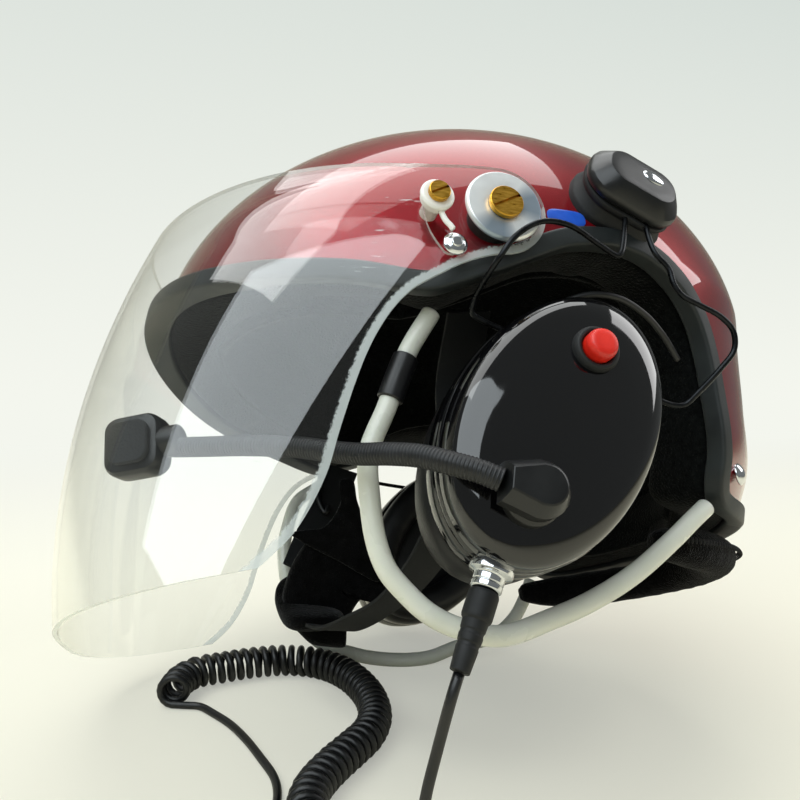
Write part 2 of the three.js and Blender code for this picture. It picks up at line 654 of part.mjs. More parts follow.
// Clamp block: x along the hinge pin, y up the shell, z out of it
const clampOut = new THREE.Vector3(0.187, -0.965, 0.18).normalize();
function clampFrame(side) {
  const pinAlong = new THREE.Vector3(1, 0, 0).applyAxisAngle(new THREE.Vector3(0, 1, 0), radians(side.lean));
  const along = pinAlong.addScaledVector(clampOut, -pinAlong.dot(clampOut)).normalize();
  return new THREE.Matrix4().makeBasis(along, clampOut.clone().cross(along), clampOut).setPosition(clampPlace);
}
const clampLength = 41;
const clampHeight = 31;
const clampBaseOut = 9;
const clampRoot = 8; // how far the base block starts inside the shell, before it is trimmed
const clampCoverThick = 9.5;
const clampCoverFace = clampBaseOut + fit + clampCoverThick;
const pocket = { size: 18, deep: 9.3, y: -10.5, z: 10.9 };
const ovalPlace = { x: 4.5, y: 2.5, deep: 3, radius: 4.3, wide: 1.25, low: 0.85, play: 1.07 };
const trimRelief = common(dome(trimProud + fit), opening(trimHeight + fit));
const clampBase = roundedBlock(clampLength - 2, clampHeight - 2, 13, clampBaseOut + clampRoot).translate(0, 0, -clampRoot);
const clampCover = roundedBlock(clampLength, clampHeight - 2, 12, clampCoverThick, 2.5);
const ovalCut = new THREE.CylinderGeometry(ovalPlace.radius, ovalPlace.radius, overrun, 12).rotateX(Math.PI / 2)
  .scale(ovalPlace.wide * ovalPlace.play, ovalPlace.low * ovalPlace.play, 1)
  .translate(ovalPlace.x, ovalPlace.y, clampCoverFace - ovalPlace.deep + overrun / 2);
const coverBlank = cut(clampCover.translate(0, 0, clampBaseOut + fit), ovalCut);
const clampScrew = turned([[0, 0], [4.3, 0], [4.3, 2.4], [3, 3.6], [0, 4.2]], 10);
clampScrew.rotateX(-Math.PI / 2).scale(ovalPlace.wide, ovalPlace.low, 1);
clampScrew.translate(ovalPlace.x, ovalPlace.y, clampCoverFace - ovalPlace.deep + fit);
for (const [name, side] of Object.entries(headsetSides)) {
  const mirror = name === 'right';
  const frame = clampFrame(side);
  const pocketCut = new THREE.BoxGeometry(pocket.size, pocket.size, pocket.deep);
  pocketCut.translate(side.pocket, pocket.y, pocket.z).applyMatrix4(frame);
  const base = cut(placed(clampBase, frame), dome(fit), trimRelief, pocketCut);
  const cover = cut(placed(coverBlank, frame), pocketCut);
  add(helmet, `clamp_base_${name}`, mirror ? mirroredY(base) : base, satin);
  add(helmet, `clamp_cover_${name}`, mirror ? mirroredY(cover) : cover, satin);
  add(helmet, `clamp_screw_${name}`, placed(clampScrew, frame, mirror), silver);
}

// Cup covers and bodies, the left one with push button, microphone boom and cable outlet
const outlet = { lean: 27, x: -38.9, z: -72 };
const outletDown = new THREE.Vector3(-Math.sin(radians(outlet.lean)), 0, -Math.cos(radians(outlet.lean)));
const outletTop = new THREE.Vector3(outlet.x, -cupSeam, outlet.z);

// A turned piece whose profile runs down the cable outlet
function alongOutlet(profile, segments = 16) {
  const points = profile.map(([radius, down]) => new THREE.Vector2(radius, down));
  const geometry = outward(merged(new THREE.LatheGeometry(points, segments)));
  geometry.applyQuaternion(new THREE.Quaternion().setFromUnitVectors(new THREE.Vector3(0, 1, 0), outletDown));
  return geometry.translate(...outletTop);
}
const bossRadius = 8.6;
const outletBoss = alongOutlet([[0, -7], [bossRadius, -7], [bossRadius, 0], [0, 0]]);
const outletSeat = alongOutlet([[0, 0], [bossRadius, 0], [bossRadius, overrun / 2], [0, overrun / 2]]);
const outletClear = alongOutlet([
  [0, -7 - fit], [bossRadius + fit, -7 - fit], [bossRadius + fit, overrun / 2], [0, overrun / 2],
]);
const bodyFrame = cupFrame(headsetSides.left);
const leftBody = join(cut(headsetSides.left.body, outletSeat), outletBoss);
add(helmet, 'cup_body_left', leftBody, gloss);
add(helmet, 'cup_body_right', mirroredY(headsetSides.right.body), gloss);

const buttonPlace = new THREE.Vector2(2.4, -3);
const boomPlace = new THREE.Vector2(-31, -54);
const bezelRadius = 8.75;
const buttonRadius = 5.8;
const boomBaseRadius = 10.2;
const leftCover = cut(
  placed(cupCover, bodyFrame),
  post(buttonPlace.x, buttonPlace.y, bezelRadius + fit, -110, -160, 20),
  post(boomPlace.x, boomPlace.y, boomBaseRadius + fit, -110, -160, 24),
  outletClear,
);
add(helmet, 'cup_cover_left', leftCover, gloss);
add(helmet, 'cup_cover_right', placed(cupCover, cupFrame(headsetSides.right), true), gloss);

const buttonTravel = 1.5;
const bezelFace = 142.5;
const bezelFloor = 132.5;
const pttBezel = discOnPost(buttonPlace.x, buttonPlace.y, [
  [0, bezelFloor - 1.5], [bezelRadius, bezelFloor - 1.5], [bezelRadius, bezelFace - 1], [bezelRadius - 1, bezelFace],
  [buttonRadius + fit + 0.8, bezelFace], [buttonRadius + fit, bezelFace - 0.8],
  [buttonRadius + fit, bezelFloor], [0, bezelFloor],
], 18);
const buttonBack = bezelFloor + buttonTravel + 0.5;
const pttButton = discOnPost(buttonPlace.x, buttonPlace.y, [
  [0, buttonBack], [buttonRadius, buttonBack], [buttonRadius, bezelFace + 3.4], [buttonRadius - 1.4, bezelFace + 4.8],
  [0, bezelFace + 4.8],
], 18);
add(helmet, 'ptt_bezel', pttBezel, satin);
add(helmet, 'ptt_button', pttButton, red);

// Microphone boom
const boomBaseFace = 142;
const boomBase = discOnPost(boomPlace.x, boomPlace.y, [
  [0, 130], [boomBaseRadius, 130], [boomBaseRadius, boomBaseFace - 2], [boomBaseRadius - 2, boomBaseFace], [0, boomBaseFace],
], 18);
add(helmet, 'boom_base', boomBase, satin);
const boomRadius = 4;
const boomRoute = [
  [-44.5, 147.2, -50.6], [-49.9, 145.8, -47.4], [-57.6, 141.0, -43.0], [-64.7, 134.0, -38.3],
  [-72.3, 125.5, -34.7], [-80.0, 115.5, -31.4], [-87.8, 105.0, -26.8], [-96.3, 96.0, -22.3],
  [-112.0, 82.0, -16.7], [-129.2, 67.0, -11.8], [-138.1, 59.0, -9.2],
].map(([x, out, z]) => new THREE.Vector3(x, -out, z));
const boomAim = Math.atan2(boomRoute[0].z - boomPlace.y, -(boomRoute[0].x - boomPlace.x));
const knuckle = { round: 9.5, reach: 13, mouth: 13, back: boomBaseFace + fit, thick: 10, bevel: 1.6 };
const knuckleShape = new THREE.Shape();
knuckleShape.moveTo(-knuckle.reach, -knuckle.mouth / 2 + knuckle.bevel);
knuckleShape.lineTo(0, -knuckle.round + knuckle.bevel);
knuckleShape.absarc(0, 0, knuckle.round - knuckle.bevel, -Math.PI / 2, Math.PI / 2, false);
knuckleShape.lineTo(-knuckle.reach, knuckle.mouth / 2 - knuckle.bevel);
knuckleShape.closePath();
const knuckleBlock = new THREE.ExtrudeGeometry(knuckleShape, {
  depth: knuckle.thick - 2 * knuckle.bevel, bevelEnabled: true, bevelThickness: knuckle.bevel,
  bevelSize: knuckle.bevel, bevelSegments: 1, curveSegments: 8,
});
knuckleBlock.rotateX(Math.PI / 2);
knuckleBlock.translate(0, -knuckle.back - knuckle.bevel, 0);
knuckleBlock.rotateY(boomAim);
knuckleBlock.translate(boomPlace.x, 0, boomPlace.y);
const boomTube = tube(boomRoute, boomRadius, 8, 18);
const boomClear = tube(boomRoute, boomRadius + fit, 8, 18);
add(helmet, 'boom_knuckle', cut(knuckleBlock, boomClear), satin);
add(helmet, 'boom_gooseneck', boomTube, satin);
const micPlace = new THREE.Vector3(-151.9, -52.0, -6.6);
const micFrame = new THREE.Matrix4().makeRotationZ(-0.5).setPosition(micPlace);
const micBody = roundedBlock(24, 24, 6, 13, 2.5).translate(0, 0, -6.5).rotateX(Math.PI / 2);
const micStem = new THREE.CylinderGeometry(6.2, 6.2, 8, 12).rotateZ(Math.PI / 2).translate(14.5, 0, 0);
const micHousing = placed(join(micBody, micStem), micFrame);
add(helmet, 'mic_housing', cut(micHousing, boomClear), satin);
const micGrille = roundedBlock(17, 17, 5, 2.4, 0.8).rotateX(Math.PI / 2).translate(0, -6.5 - fit, 0);
add(helmet, 'mic_grille', placed(micGrille, micFrame), foam);

// Cable outlet
const ferrule = alongOutlet([[0, fit], [7.6, fit], [7.6, 3], [5.4, 3.6], [5.4, 8], [4.6, 8.6], [0, 8.6]], 14);
add(helmet, 'connector_ferrule', ferrule, silver);
const reliefTop = 8.6 + fit;
const reliefEnd = 35.6;
const relief = alongOutlet([
  [0, reliefTop], [5, reliefTop], [5.2, reliefTop + 9], [4.4, reliefTop + 10], [3.3, reliefEnd], [0, reliefEnd],
], 14);
add(helmet, 'strain_relief', relief, cable);

// Guard tubes around the ears, the left one with a black sleeve
const guardRadius = 3.8;
const sleeveWall = 0.9;
const guardRoutes = {
  left: [
    [-43.6, -105.2, 27.8], [-54, -103, 12.5], [-64, -101, -9], [-72, -99, -26], [-73, -98, -43], [-72, -97, -57],
    [-69, -96, -67], [-63, -95, -75], [-55, -94.5, -83], [-45, -94, -88.5], [-30, -94, -92.5], [-8, -93, -88],
    [9, -92.5, -83], [29, -92, -74.5], [49.6, -91, -62.5], [63, -89.4, -54], [71, -88, -49.2],
  ],
  right: [
    [-44, 104.3, 28.8], [-49, 103, 19], [-65, 101, 8], [-72, 99, -7], [-75, 98, -19], [-75.5, 97, -33],
    [-72, 96, -54], [-60, 95, -73], [-41, 94, -82], [-20, 94, -87], [2, 93, -88], [19, 92, -84], [42, 88, -80],
    [56, 87.5, -71], [65, 88, -60], [70.6, 88, -50.4],
  ],
};
for (const [name, places] of Object.entries(guardRoutes)) {
  const route = places.map((place) => new THREE.Vector3(...place));
  add(helmet, `guard_tube_${name}`, tube(route, guardRadius, 7, 22), milky);
}
const sleeveRoute = [[-55.2, -102.8, 9.9], [-59, -102, 2], [-62.6, -101.3, -6]].map((place) => new THREE.Vector3(...place));
const sleeveBody = tube(sleeveRoute, guardRadius + fit + sleeveWall, 10, 4);
const guardClear = tube(guardRoutes.left.map((place) => new THREE.Vector3(...place)), guardRadius + fit, 8, 22);
add(helmet, 'tube_sleeve', cut(sleeveBody, guardClear), cable);

// Padded roll around the neck
const neck = { length: 119, width: 79, thick: 23, tall: 20.5, top: -51.4, span: 65, lift: 3 };
const neckSteps = 12;
const neckSides = 9;
const neckRings = [];
for (let i = 0; i <= neckSteps; i++) {
  const share = (2 * i) / neckSteps - 1;
  const turn = radians(neck.span) * share;
  const taper = Math.sqrt(1 - 0.82 * share ** 8);
  const lift = neck.lift * share ** 6;
  const middle = new THREE.Vector3(
    -shellForward + neck.length * Math.cos(turn), neck.width * Math.sin(turn), neck.top - neck.tall / 2 + lift,
  );
  const outwards = new THREE.Vector3(Math.cos(turn) / neck.length, Math.sin(turn) / neck.width, 0).normalize();
  const ring = [];
  for (let j = 0; j < neckSides; j++) {
    const around = (2 * Math.PI * j) / neckSides;
    const point = middle.clone().addScaledVector(outwards, (neck.thick / 2) * taper * Math.cos(around));
    point.z += (neck.tall / 2) * taper * Math.sin(around);
    ring.push(point);
  }
  neckRings.push(ring);
}
add(helmet, 'neck_roll', loft(neckRings), velour);

// Chin strap with its pad and hook
function ribbon(places, wide, thick) {
  const route = places.map((place) => new THREE.Vector3(...place.slice(0, 3)));
  const rings = route.map((point, i) => {
    const along = route[Math.min(route.length - 1, i + 1)].clone().sub(route[Math.max(0, i - 1)]).normalize();
    const across = new THREE.Vector3(...places[i].slice(3)).addScaledVector(along, 0);
    across.addScaledVector(along, -across.dot(along)).normalize();
    const out = across.clone().cross(along);
    return [[1, 1], [-1, 1], [-1, -1], [1, -1]].map(([a, b]) => point.clone()
      .addScaledVector(across, (a * wide) / 2).addScaledVector(out, (b * thick) / 2));
  });
  return loft(rings);
}
const strapWide = 20;
const strapThick = 1.8;
const strapRight = ribbon([
  [-38, 95.6, 25.6, 1, 0, 0.4], [-47, 91.5, 8, 1, 0.2, 0.4], [-59, 84, -14, 1, 0.3, 0.3], [-71, 74.8, -37.6, 1, 0.3, 0.2],
], strapWide, strapThick);
const strapLeft = ribbon([
  [-68, 31, -72.4, 1, 0, -0.2], [-64, 17, -75, 1, 0, -0.1], [-56, -6, -73, 1, 0, 0], [-45, -34, -66, 1, 0, 0.2], [-33, -60, -46, 1, 0, 0.3],
  [-27, -73, -16, 1, 0, 0.3], [-25, -78, 12, 1, 0, 0.2], [-24.5, -98, 32.8, 1, 0, 0.26],
], strapWide, strapThick);
add(helmet, 'chin_strap_right', strapRight, cloth);
add(helmet, 'chin_strap_left', strapLeft, cloth);
const chin = { middle: new THREE.Vector3(-70.5, 52, -56), wide: 34, long: 50, thick: 14 };
const chinRings = [];
const chinSteps = 8;
for (let i = 0; i <= chinSteps; i++) {
  const share = (2 * i) / chinSteps - 1;
  const swell = Math.sqrt(1 - 0.75 * share ** 4);
  const ring = [];
  for (let j = 0; j < 10; j++) {
    const around = (2 * Math.PI * j) / 10;
    const [c, s] = [Math.cos(around), Math.sin(around)];
    ring.push(new THREE.Vector3(
      (chin.wide / 2) * swell * Math.sign(c) * Math.abs(c) ** 0.7,
      (chin.long / 2) * share,
      (chin.thick / 2) * swell * Math.sign(s) * Math.abs(s) ** 0.7 - 6 * (1 - share ** 2),
    ));
  }
  chinRings.push(ring);
}
const chinPad = loft(chinRings);
chinPad.rotateX(radians(38));
chinPad.rotateZ(radians(6));
chinPad.translate(...chin.middle);
add(helmet, 'chin_pad', chinPad, cloth);
const hookRoute = [[-52, 91.2, 22], [-53.4, 89.2, 14], [-55, 86, 4], [-52.4, 83.8, -3.4], [-50.2, 84.4, 0.6]];
add(helmet, 'strap_hook', tube(hookRoute.map((place) => new THREE.Vector3(...place)), 1.6, 6, 10), satin);

// Crossover cable from the left cup up into the lining
const crossover = [
  [-1.5, -113, 23.7], [5.5, -116, 27.4], [17, -119, 30.5], [30, -119.5, 29.5], [43, -116, 24.5], [53, -111, 18], [62, -105, 9.5],
];
add(helmet, 'crossover_cable', tube(crossover.map((place) => new THREE.Vector3(...place)), 1.3, 6, 14), cable);

helmet.name = 'helmet';
helmet.rotation.x = -radians(leanAngle);
helmet.position.z = restHeight;
helmet.updateMatrixWorld(true);

// Cords on the table: lead, curls and tail, routes in the table's frame
const cords = new THREE.Group();
cords.name = 'cords';
const cordRadius = 1.85;
const leadRadius = 2.1;
const curlRadius = 6.4;
const curlPitch = 5;
const curlSteps = 7;
const curlSides = 5;
const curlLeastPitch = 4.2; // on the inside of a bend
const curlHeight = curlRadius + cordRadius + 0.1;
const curlAxis = new THREE.CatmullRomCurve3([
  [-138.4, 22.5], [-133.8, 35], [-126, 43], [-111.4, 46.4], [-94.1, 48.8], [-78, 47.6], [-65, 42], [-55.5, 33],
  [-49, 20.5], [-45.4, 5.5], [-44.6, -10], [-47.4, -26.5], [-54.4, -40.4], [-64.4, -51.4], [-76, -63.4], [-86.4, -77.2],
  [-91.4, -91], [-92, -104],
].map(([x, y]) => new THREE.Vector3(x, y, 0)), false, 'centripetal');
const curlSamples = 600;
const curlLength = curlAxis.getLength();
const curlTurns = [0];
const curlTangents = Array.from({ length: curlSamples + 1 }, (unused, i) => curlAxis.getTangentAt(i / curlSamples));
for (let i = 1; i <= curlSamples; i++) {
  const run = curlLength / curlSamples;
  const bend = curlTangents[i].angleTo(curlTangents[i - 1]) / run;
  const pitch = Math.max(curlPitch, curlLeastPitch / (1 - curlRadius * bend));
  curlTurns.push(curlTurns[i - 1] + run / pitch);
}
const curlCount = Math.round(curlTurns[curlSamples]);
const curlPoints = [];
const curlOuts = [];
const up = new THREE.Vector3(0, 0, 1);
let sample = 0;
for (let i = 0; i <= curlCount * curlSteps; i++) {
  const wanted = ((i / curlSteps) * curlTurns[curlSamples]) / curlCount;
  while (sample < curlSamples - 1 && curlTurns[sample + 1] < wanted) sample++;
  const share = (sample + (wanted - curlTurns[sample]) / (curlTurns[sample + 1] - curlTurns[sample])) / curlSamples;
  const along = Math.min(1, Math.max(0, share));
  const side = curlAxis.getTangentAt(along).cross(up);
  const turn = -Math.PI / 2 - (2 * Math.PI * i) / curlSteps;
  const out = side.multiplyScalar(Math.cos(turn)).addScaledVector(up, Math.sin(turn));
  curlOuts.push(out);
  curlPoints.push(curlAxis.getPointAt(along).addScaledVector(out, curlRadius).addScaledVector(up, curlHeight));
}
const curlEnds = [curlPoints[0], curlPoints[curlPoints.length - 1]].map((point) => point.clone());
const curlEndRuns = [
  curlAxis.getTangentAt(0).cross(up).normalize(),
  curlAxis.getTangentAt(1).cross(up).normalize().negate(),
];
curlPoints.unshift(curlEnds[0].clone().addScaledVector(curlEndRuns[0], 2 * cordRadius));
curlPoints.push(curlEnds[1].clone().addScaledVector(curlEndRuns[1], 2 * cordRadius));
curlOuts.unshift(curlOuts[0]);
curlOuts.push(curlOuts[curlOuts.length - 1]);
const curlRings = curlPoints.map((point, i) => {
  let along = curlPoints[Math.min(curlPoints.length - 1, i + 1)].clone().sub(curlPoints[Math.max(0, i - 1)]);
  if (i === 0) along = curlEndRuns[0].clone().negate();
  if (i === curlPoints.length - 1) along = curlEndRuns[1].clone();
  along.normalize();
  const out = curlOuts[i].clone().addScaledVector(along, -curlOuts[i].dot(along)).normalize();
  const across = along.clone().cross(out);
  return Array.from({ length: curlSides }, (unused, j) => {
    const around = (2 * Math.PI * j) / curlSides;
    return point.clone().addScaledVector(out, cordRadius * Math.cos(around))
      .addScaledVector(across, cordRadius * Math.sin(around));
  });
});
add(cords, 'curly_cord', loft(curlRings), cable);

// Least gap of the curly cord to itself, on points along its centreline
const gapSteps = 4; // points between two rings
const turnApart = curlSteps * gapSteps * 0.6; // nearer points belong to the same turn
const gapLine = [];
for (let i = 1; i < curlPoints.length; i++) {
  for (let j = 0; j < gapSteps; j++) gapLine.push(curlPoints[i - 1].clone().lerp(curlPoints[i], j / gapSteps));
}
let leastGap = Infinity;
for (let i = 0; i < gapLine.length; i++) {
  for (let j = i + Math.round(turnApart); j < gapLine.length; j++) {
    leastGap = Math.min(leastGap, gapLine[i].distanceTo(gapLine[j]) - 2 * cordRadius);
  }
}
console.log(`curly_cord: least gap to itself ${leastGap.toFixed(2)} mm`);

const cordGap = 0.3;
const tailStart = curlPoints[0].clone().addScaledVector(curlEndRuns[0], cordGap);
const tailRoute = [
  tailStart, tailStart.clone().addScaledVector(curlEndRuns[0], 4),
  ...[[-125.4, 17.5], [-119, 8], [-112.4, -4], [-106.7, -19.5], [-101.8, -38.1], [-98.4, -53.6], [-98.4, -65],
    [-101, -78], [-104, -90], [-105.6, -101, 3.2], [-106.4, -112, 5.2]]
    .map(([x, y, z = tailStart.z]) => new THREE.Vector3(x, y, z)),
];
add(cords, 'tail', tube(tailRoute, cordRadius, 6, 18), cable);
const plugBack = tailRoute[tailRoute.length - 1];
const plugProfile = [
  [0, 0], [2.4, 0], [4.4, 9], [5, 10], [5, 26], [4.2, 27], [3.1, 27.4], [3.1, 42], [2.2, 44.5], [0, 45.5],
];
const plug = outward(merged(new THREE.LatheGeometry(plugProfile.map(([r, l]) => new THREE.Vector2(r, l)), 10)));
const plugRun = plugBack.clone().sub(tailRoute[tailRoute.length - 2]).normalize();
plugRun.z = 0;
plug.applyQuaternion(new THREE.Quaternion().setFromUnitVectors(new THREE.Vector3(0, 1, 0), plugRun.normalize()));
plug.translate(...plugBack.clone().addScaledVector(plugRun, cordGap + 0.2));
add(cords, 'plug', plug, satin);

const reliefFoot = helmet.localToWorld(outletTop.clone().addScaledVector(outletDown, reliefEnd + 0.5));
const reliefRun = outletDown.clone().applyQuaternion(helmet.quaternion);
const leadEnd = curlPoints[curlPoints.length - 1].clone().addScaledVector(curlEndRuns[1], cordGap);
const leadRoute = [
  reliefFoot, reliefFoot.clone().addScaledVector(reliefRun, 6),
  ...[[-62.3, -154, 62], [-65.8, -154.3, 47], [-67.2, -153.5, 30], [-64.8, -149.5, 15], [-59.4, -140, 5.6],
    [-55.5, -128, 2.6], [-57.5, -115.5, 2.3], [-65, -107.4, 2.3], [-74, -104.4, 2.3]].map((place) => new THREE.Vector3(...place)),
  leadEnd.clone().addScaledVector(curlEndRuns[1], 5).setZ(2.3), leadEnd.clone().setZ(2.3),
];
add(cords, 'lead', tube(leadRoute, leadRadius, 6, 22), cable);

// The part stands on its origin; cords don't count for the middle
const part = new THREE.Group();
part.name = 'paramotor_helmet';
part.add(helmet, cords);
const bounds = new THREE.Box3().setFromObject(helmet, true);
const middle = bounds.getCenter(new THREE.Vector3());
cords.position.z = bounds.min.z;
part.position.set(-middle.x, -middle.y, -bounds.min.z);
part.updateMatrixWorld(true);

export default part;
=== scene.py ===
import json
import math
import bmesh
import bpy
import numpy as np
from mathutils import Matrix, Vector

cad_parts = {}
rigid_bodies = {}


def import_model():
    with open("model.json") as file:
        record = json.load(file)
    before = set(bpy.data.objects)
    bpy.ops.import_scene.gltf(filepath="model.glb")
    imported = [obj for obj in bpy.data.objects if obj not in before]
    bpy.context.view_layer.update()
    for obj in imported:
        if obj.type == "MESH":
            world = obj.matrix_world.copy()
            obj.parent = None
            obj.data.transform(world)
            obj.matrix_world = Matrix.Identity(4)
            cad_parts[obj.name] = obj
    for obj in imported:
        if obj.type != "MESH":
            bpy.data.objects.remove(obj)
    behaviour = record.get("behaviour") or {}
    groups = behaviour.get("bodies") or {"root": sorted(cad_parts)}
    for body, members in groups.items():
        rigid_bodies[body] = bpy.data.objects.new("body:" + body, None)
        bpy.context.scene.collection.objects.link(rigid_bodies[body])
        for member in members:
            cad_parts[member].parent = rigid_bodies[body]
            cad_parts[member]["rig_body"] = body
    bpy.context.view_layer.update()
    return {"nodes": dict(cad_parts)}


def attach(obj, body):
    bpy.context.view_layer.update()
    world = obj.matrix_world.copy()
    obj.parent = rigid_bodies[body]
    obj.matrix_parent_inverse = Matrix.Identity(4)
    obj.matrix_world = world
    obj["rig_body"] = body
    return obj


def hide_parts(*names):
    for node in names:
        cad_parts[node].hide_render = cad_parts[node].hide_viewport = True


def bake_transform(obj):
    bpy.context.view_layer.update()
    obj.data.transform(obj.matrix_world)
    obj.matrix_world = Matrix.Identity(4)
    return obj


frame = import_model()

scene = bpy.context.scene
scene.view_settings.view_transform = "Standard"

# camera, where the photograph was taken from
view = {
    "place": (-0.12757, -0.3788, 0.1931),
    "right": (0.9585, -0.284, 0.0241),
    "up": (0.0038, 0.0974, 0.9952),
    "lens": 36.46,
    "sensor": 36.0,
}
lens = bpy.data.cameras.new("view")
lens.lens, lens.sensor_width = view["lens"], view["sensor"]
lens.clip_start, lens.clip_end = 0.01, 20
camera = bpy.data.objects.new("view", lens)
scene.collection.objects.link(camera)
right = Vector(view["right"]).normalized()
back = right.cross(Vector(view["up"])).normalized()
facing = Matrix((right, back.cross(right), back)).transposed().to_4x4()
camera.matrix_world = Matrix.Translation(view["place"]) @ facing
scene.camera = camera

# the helmet's own frame, in millimetres, leans onto its right side on the table
helmetPlace = {"lean": 27.0, "origin": (16.434, -0.393, 124.614), "table": (16.434, -0.393, 0.0)}
leanCos = math.cos(math.radians(helmetPlace["lean"]))
leanSin = math.sin(math.radians(helmetPlace["lean"]))


def onHelmet(points):  # helmet millimetres to metres in the part's frame
    p = np.asarray(points, float)
    x, y, z = p[..., 0], p[..., 1], p[..., 2]
    leaned = np.stack([x, y * leanCos + z * leanSin, z * leanCos - y * leanSin], -1)
    return (leaned + np.array(helmetPlace["origin"])) * 0.001


def onTable(points):  # table millimetres to metres in the part's frame
    return (np.asarray(points, float) + np.array(helmetPlace["table"])) * 0.001


# node helpers, for materials and for geometry
def put(tree, kind, inputs=None, **settings):  # a node with its sockets linked or set
    made = tree.nodes.new(kind)
    for key, value in settings.items():
        setattr(made, key, value)
    for key, value in (inputs or {}).items():
        if isinstance(value, bpy.types.NodeSocket):
            tree.links.new(value, made.inputs[key])
        else:
            made.inputs[key].default_value = value
    return made


def started(name):  # an empty material, its tree and the place on the piece
    made = bpy.data.materials.new(name)
    made.use_nodes = True
    made.node_tree.nodes.clear()
    return made, made.node_tree, put(made.node_tree, "ShaderNodeTexCoord").outputs["Object"]


def covered(made, surface):  # ends a material with a shader, or with the inputs of a principled one
    if isinstance(surface, dict):
        surface = put(made.node_tree, "ShaderNodeBsdfPrincipled", surface).outputs["BSDF"]
    put(made.node_tree, "ShaderNodeOutputMaterial", {"Surface": surface})
    return made


def rgb(code):  # sRGB hex to linear
    parts = [int(code[i:i + 2], 16) / 255 for i in (0, 2, 4)]
    return tuple(c / 12.92 if c <= 0.04045 else ((c + 0.055) / 1.055) ** 2.4 for c in parts) + (1.0,)


def noise(tree, place, scale, detail, **more):
    return put(tree, "ShaderNodeTexNoise", {"Vector": place, "Scale": scale, "Detail": detail, **more}).outputs["Fac"]


def ramp(tree, share, colours, ends=(0.0, 1.0)):
    tint = put(tree, "ShaderNodeValToRGB", {"Fac": share})
    for stop, colour, end in zip(tint.color_ramp.elements, colours, ends):
        stop.position, stop.color = end, rgb(colour)
    return tint.outputs["Color"]


def mapped(tree, value, given, wanted=(0.0, 1.0), **settings):  # takes one range to another
    return put(tree, "ShaderNodeMapRange", {"Value": value, "From Min": given[0], "From Max": given[1],
                                            "To Min": wanted[0], "To Max": wanted[1]}, **settings).outputs["Result"]


def maths(tree, operation, *values):
    return put(tree, "ShaderNodeMath", dict(enumerate(values)), operation=operation).outputs["Value"]


def bumped(tree, height, strength, depth):
    return put(tree, "ShaderNodeBump", {"Height": height, "Strength": strength, "Distance": depth}).outputs["Normal"]


def mixed(tree, share, first, second):
    return put(tree, "ShaderNodeMixShader", {0: share, 1: first, 2: second}).outputs["Shader"]


middleRange = (0.3, 0.7)  # where most of a noise lies


def finish(name, s):  # a moulded, cast or woven finish from two noises
    made, tree, place = started(name)
    place = put(tree, "ShaderNodeMapping", {"Vector": place, "Scale": s.get("stretch", (1, 1, 1))}).outputs["Vector"]
    cloud = noise(tree, place, s["scale"], 4.0, Roughness=0.6)
    if s.get("pebbled"):
        height = put(tree, "ShaderNodeTexVoronoi", {"Vector": place, "Scale": s["grain"], "Randomness": 0.9},
                     feature="SMOOTH_F1").outputs["Distance"]
    else:
        height = noise(tree, place, s["grain"], 2.0)
    return covered(made, {
        "Base Color": ramp(tree, cloud, (s["dark"], s["light"]), (0.32, 0.68)),
        "Roughness": mapped(tree, cloud, middleRange, s["rough"]),
        "Normal": bumped(tree, height, s["bump"], s.get("depth", 0.0003)),
        "Metallic": s.get("metal", 0.0), "Specular IOR Level": s.get("shine", 0.5),
        **{socket: s[socket] for socket in ("Coat Weight", "Sheen Weight", "Sheen Roughness") if socket in s}})


# shape helpers
def smoothRoute(points, count, closed=False):  # centripetal curve through points, evenly spaced
    p = np.asarray(points, float)
    p = np.vstack([p[-1:], p, p[:2]]) if closed else np.vstack([2 * p[:1] - p[1:2], p, 2 * p[-1:] - p[-2:-1]])
    dense = []
    for a, b, c, d in zip(p, p[1:], p[2:], p[3:]):
        t1 = max(1e-6, np.linalg.norm(b - a) ** 0.5)
        t2 = t1 + max(1e-6, np.linalg.norm(c - b) ** 0.5)
        t3 = t2 + max(1e-6, np.linalg.norm(d - c) ** 0.5)
        t = np.linspace(t1, t2, 24, endpoint=False)[:, None]
        a1, a2, a3 = a + (b - a) * t / t1, b + (c - b) * (t - t1) / (t2 - t1), c + (d - c) * (t - t2) / (t3 - t2)
        b1, b2 = a1 + (a2 - a1) * t / t2, a2 + (a3 - a2) * (t - t1) / (t3 - t1)
        dense.append(b1 + (b2 - b1) * (t - t1) / (t2 - t1))
    return evenly(np.vstack(dense + [p[-2:-1]]), count, closed)


def circle(count):  # evenly spread angles
    return np.linspace(0, 2 * math.pi, count, endpoint=False)


def evenly(line, count, closed=False):
    along = np.r_[0, np.cumsum(np.linalg.norm(np.diff(line, axis=0), axis=1))]
    wanted = np.linspace(0, along[-1], count + 1)[:-1] if closed else np.linspace(0, along[-1], count)
    return np.stack([np.interp(wanted, along, line[:, k]) for k in range(line.shape[1])], -1)


def unit(v):
    return v / np.maximum(np.linalg.norm(v, axis=-1, keepdims=True), 1e-12)


def carriedFrames(line):  # tangent and two sideways directions that don't twist
    tangent = unit(np.gradient(line, axis=0))
    side = np.zeros_like(line)
    start = np.array([0, 0, 1.0]) if abs(tangent[0][2]) < 0.9 else np.array([1.0, 0, 0])
    side[0] = unit(start - tangent[0] * start.dot(tangent[0]))
    for i in range(1, len(line)):
        side[i] = unit(side[i - 1] - tangent[i] * side[i - 1].dot(tangent[i]))
    return tangent, side, np.cross(tangent, side)


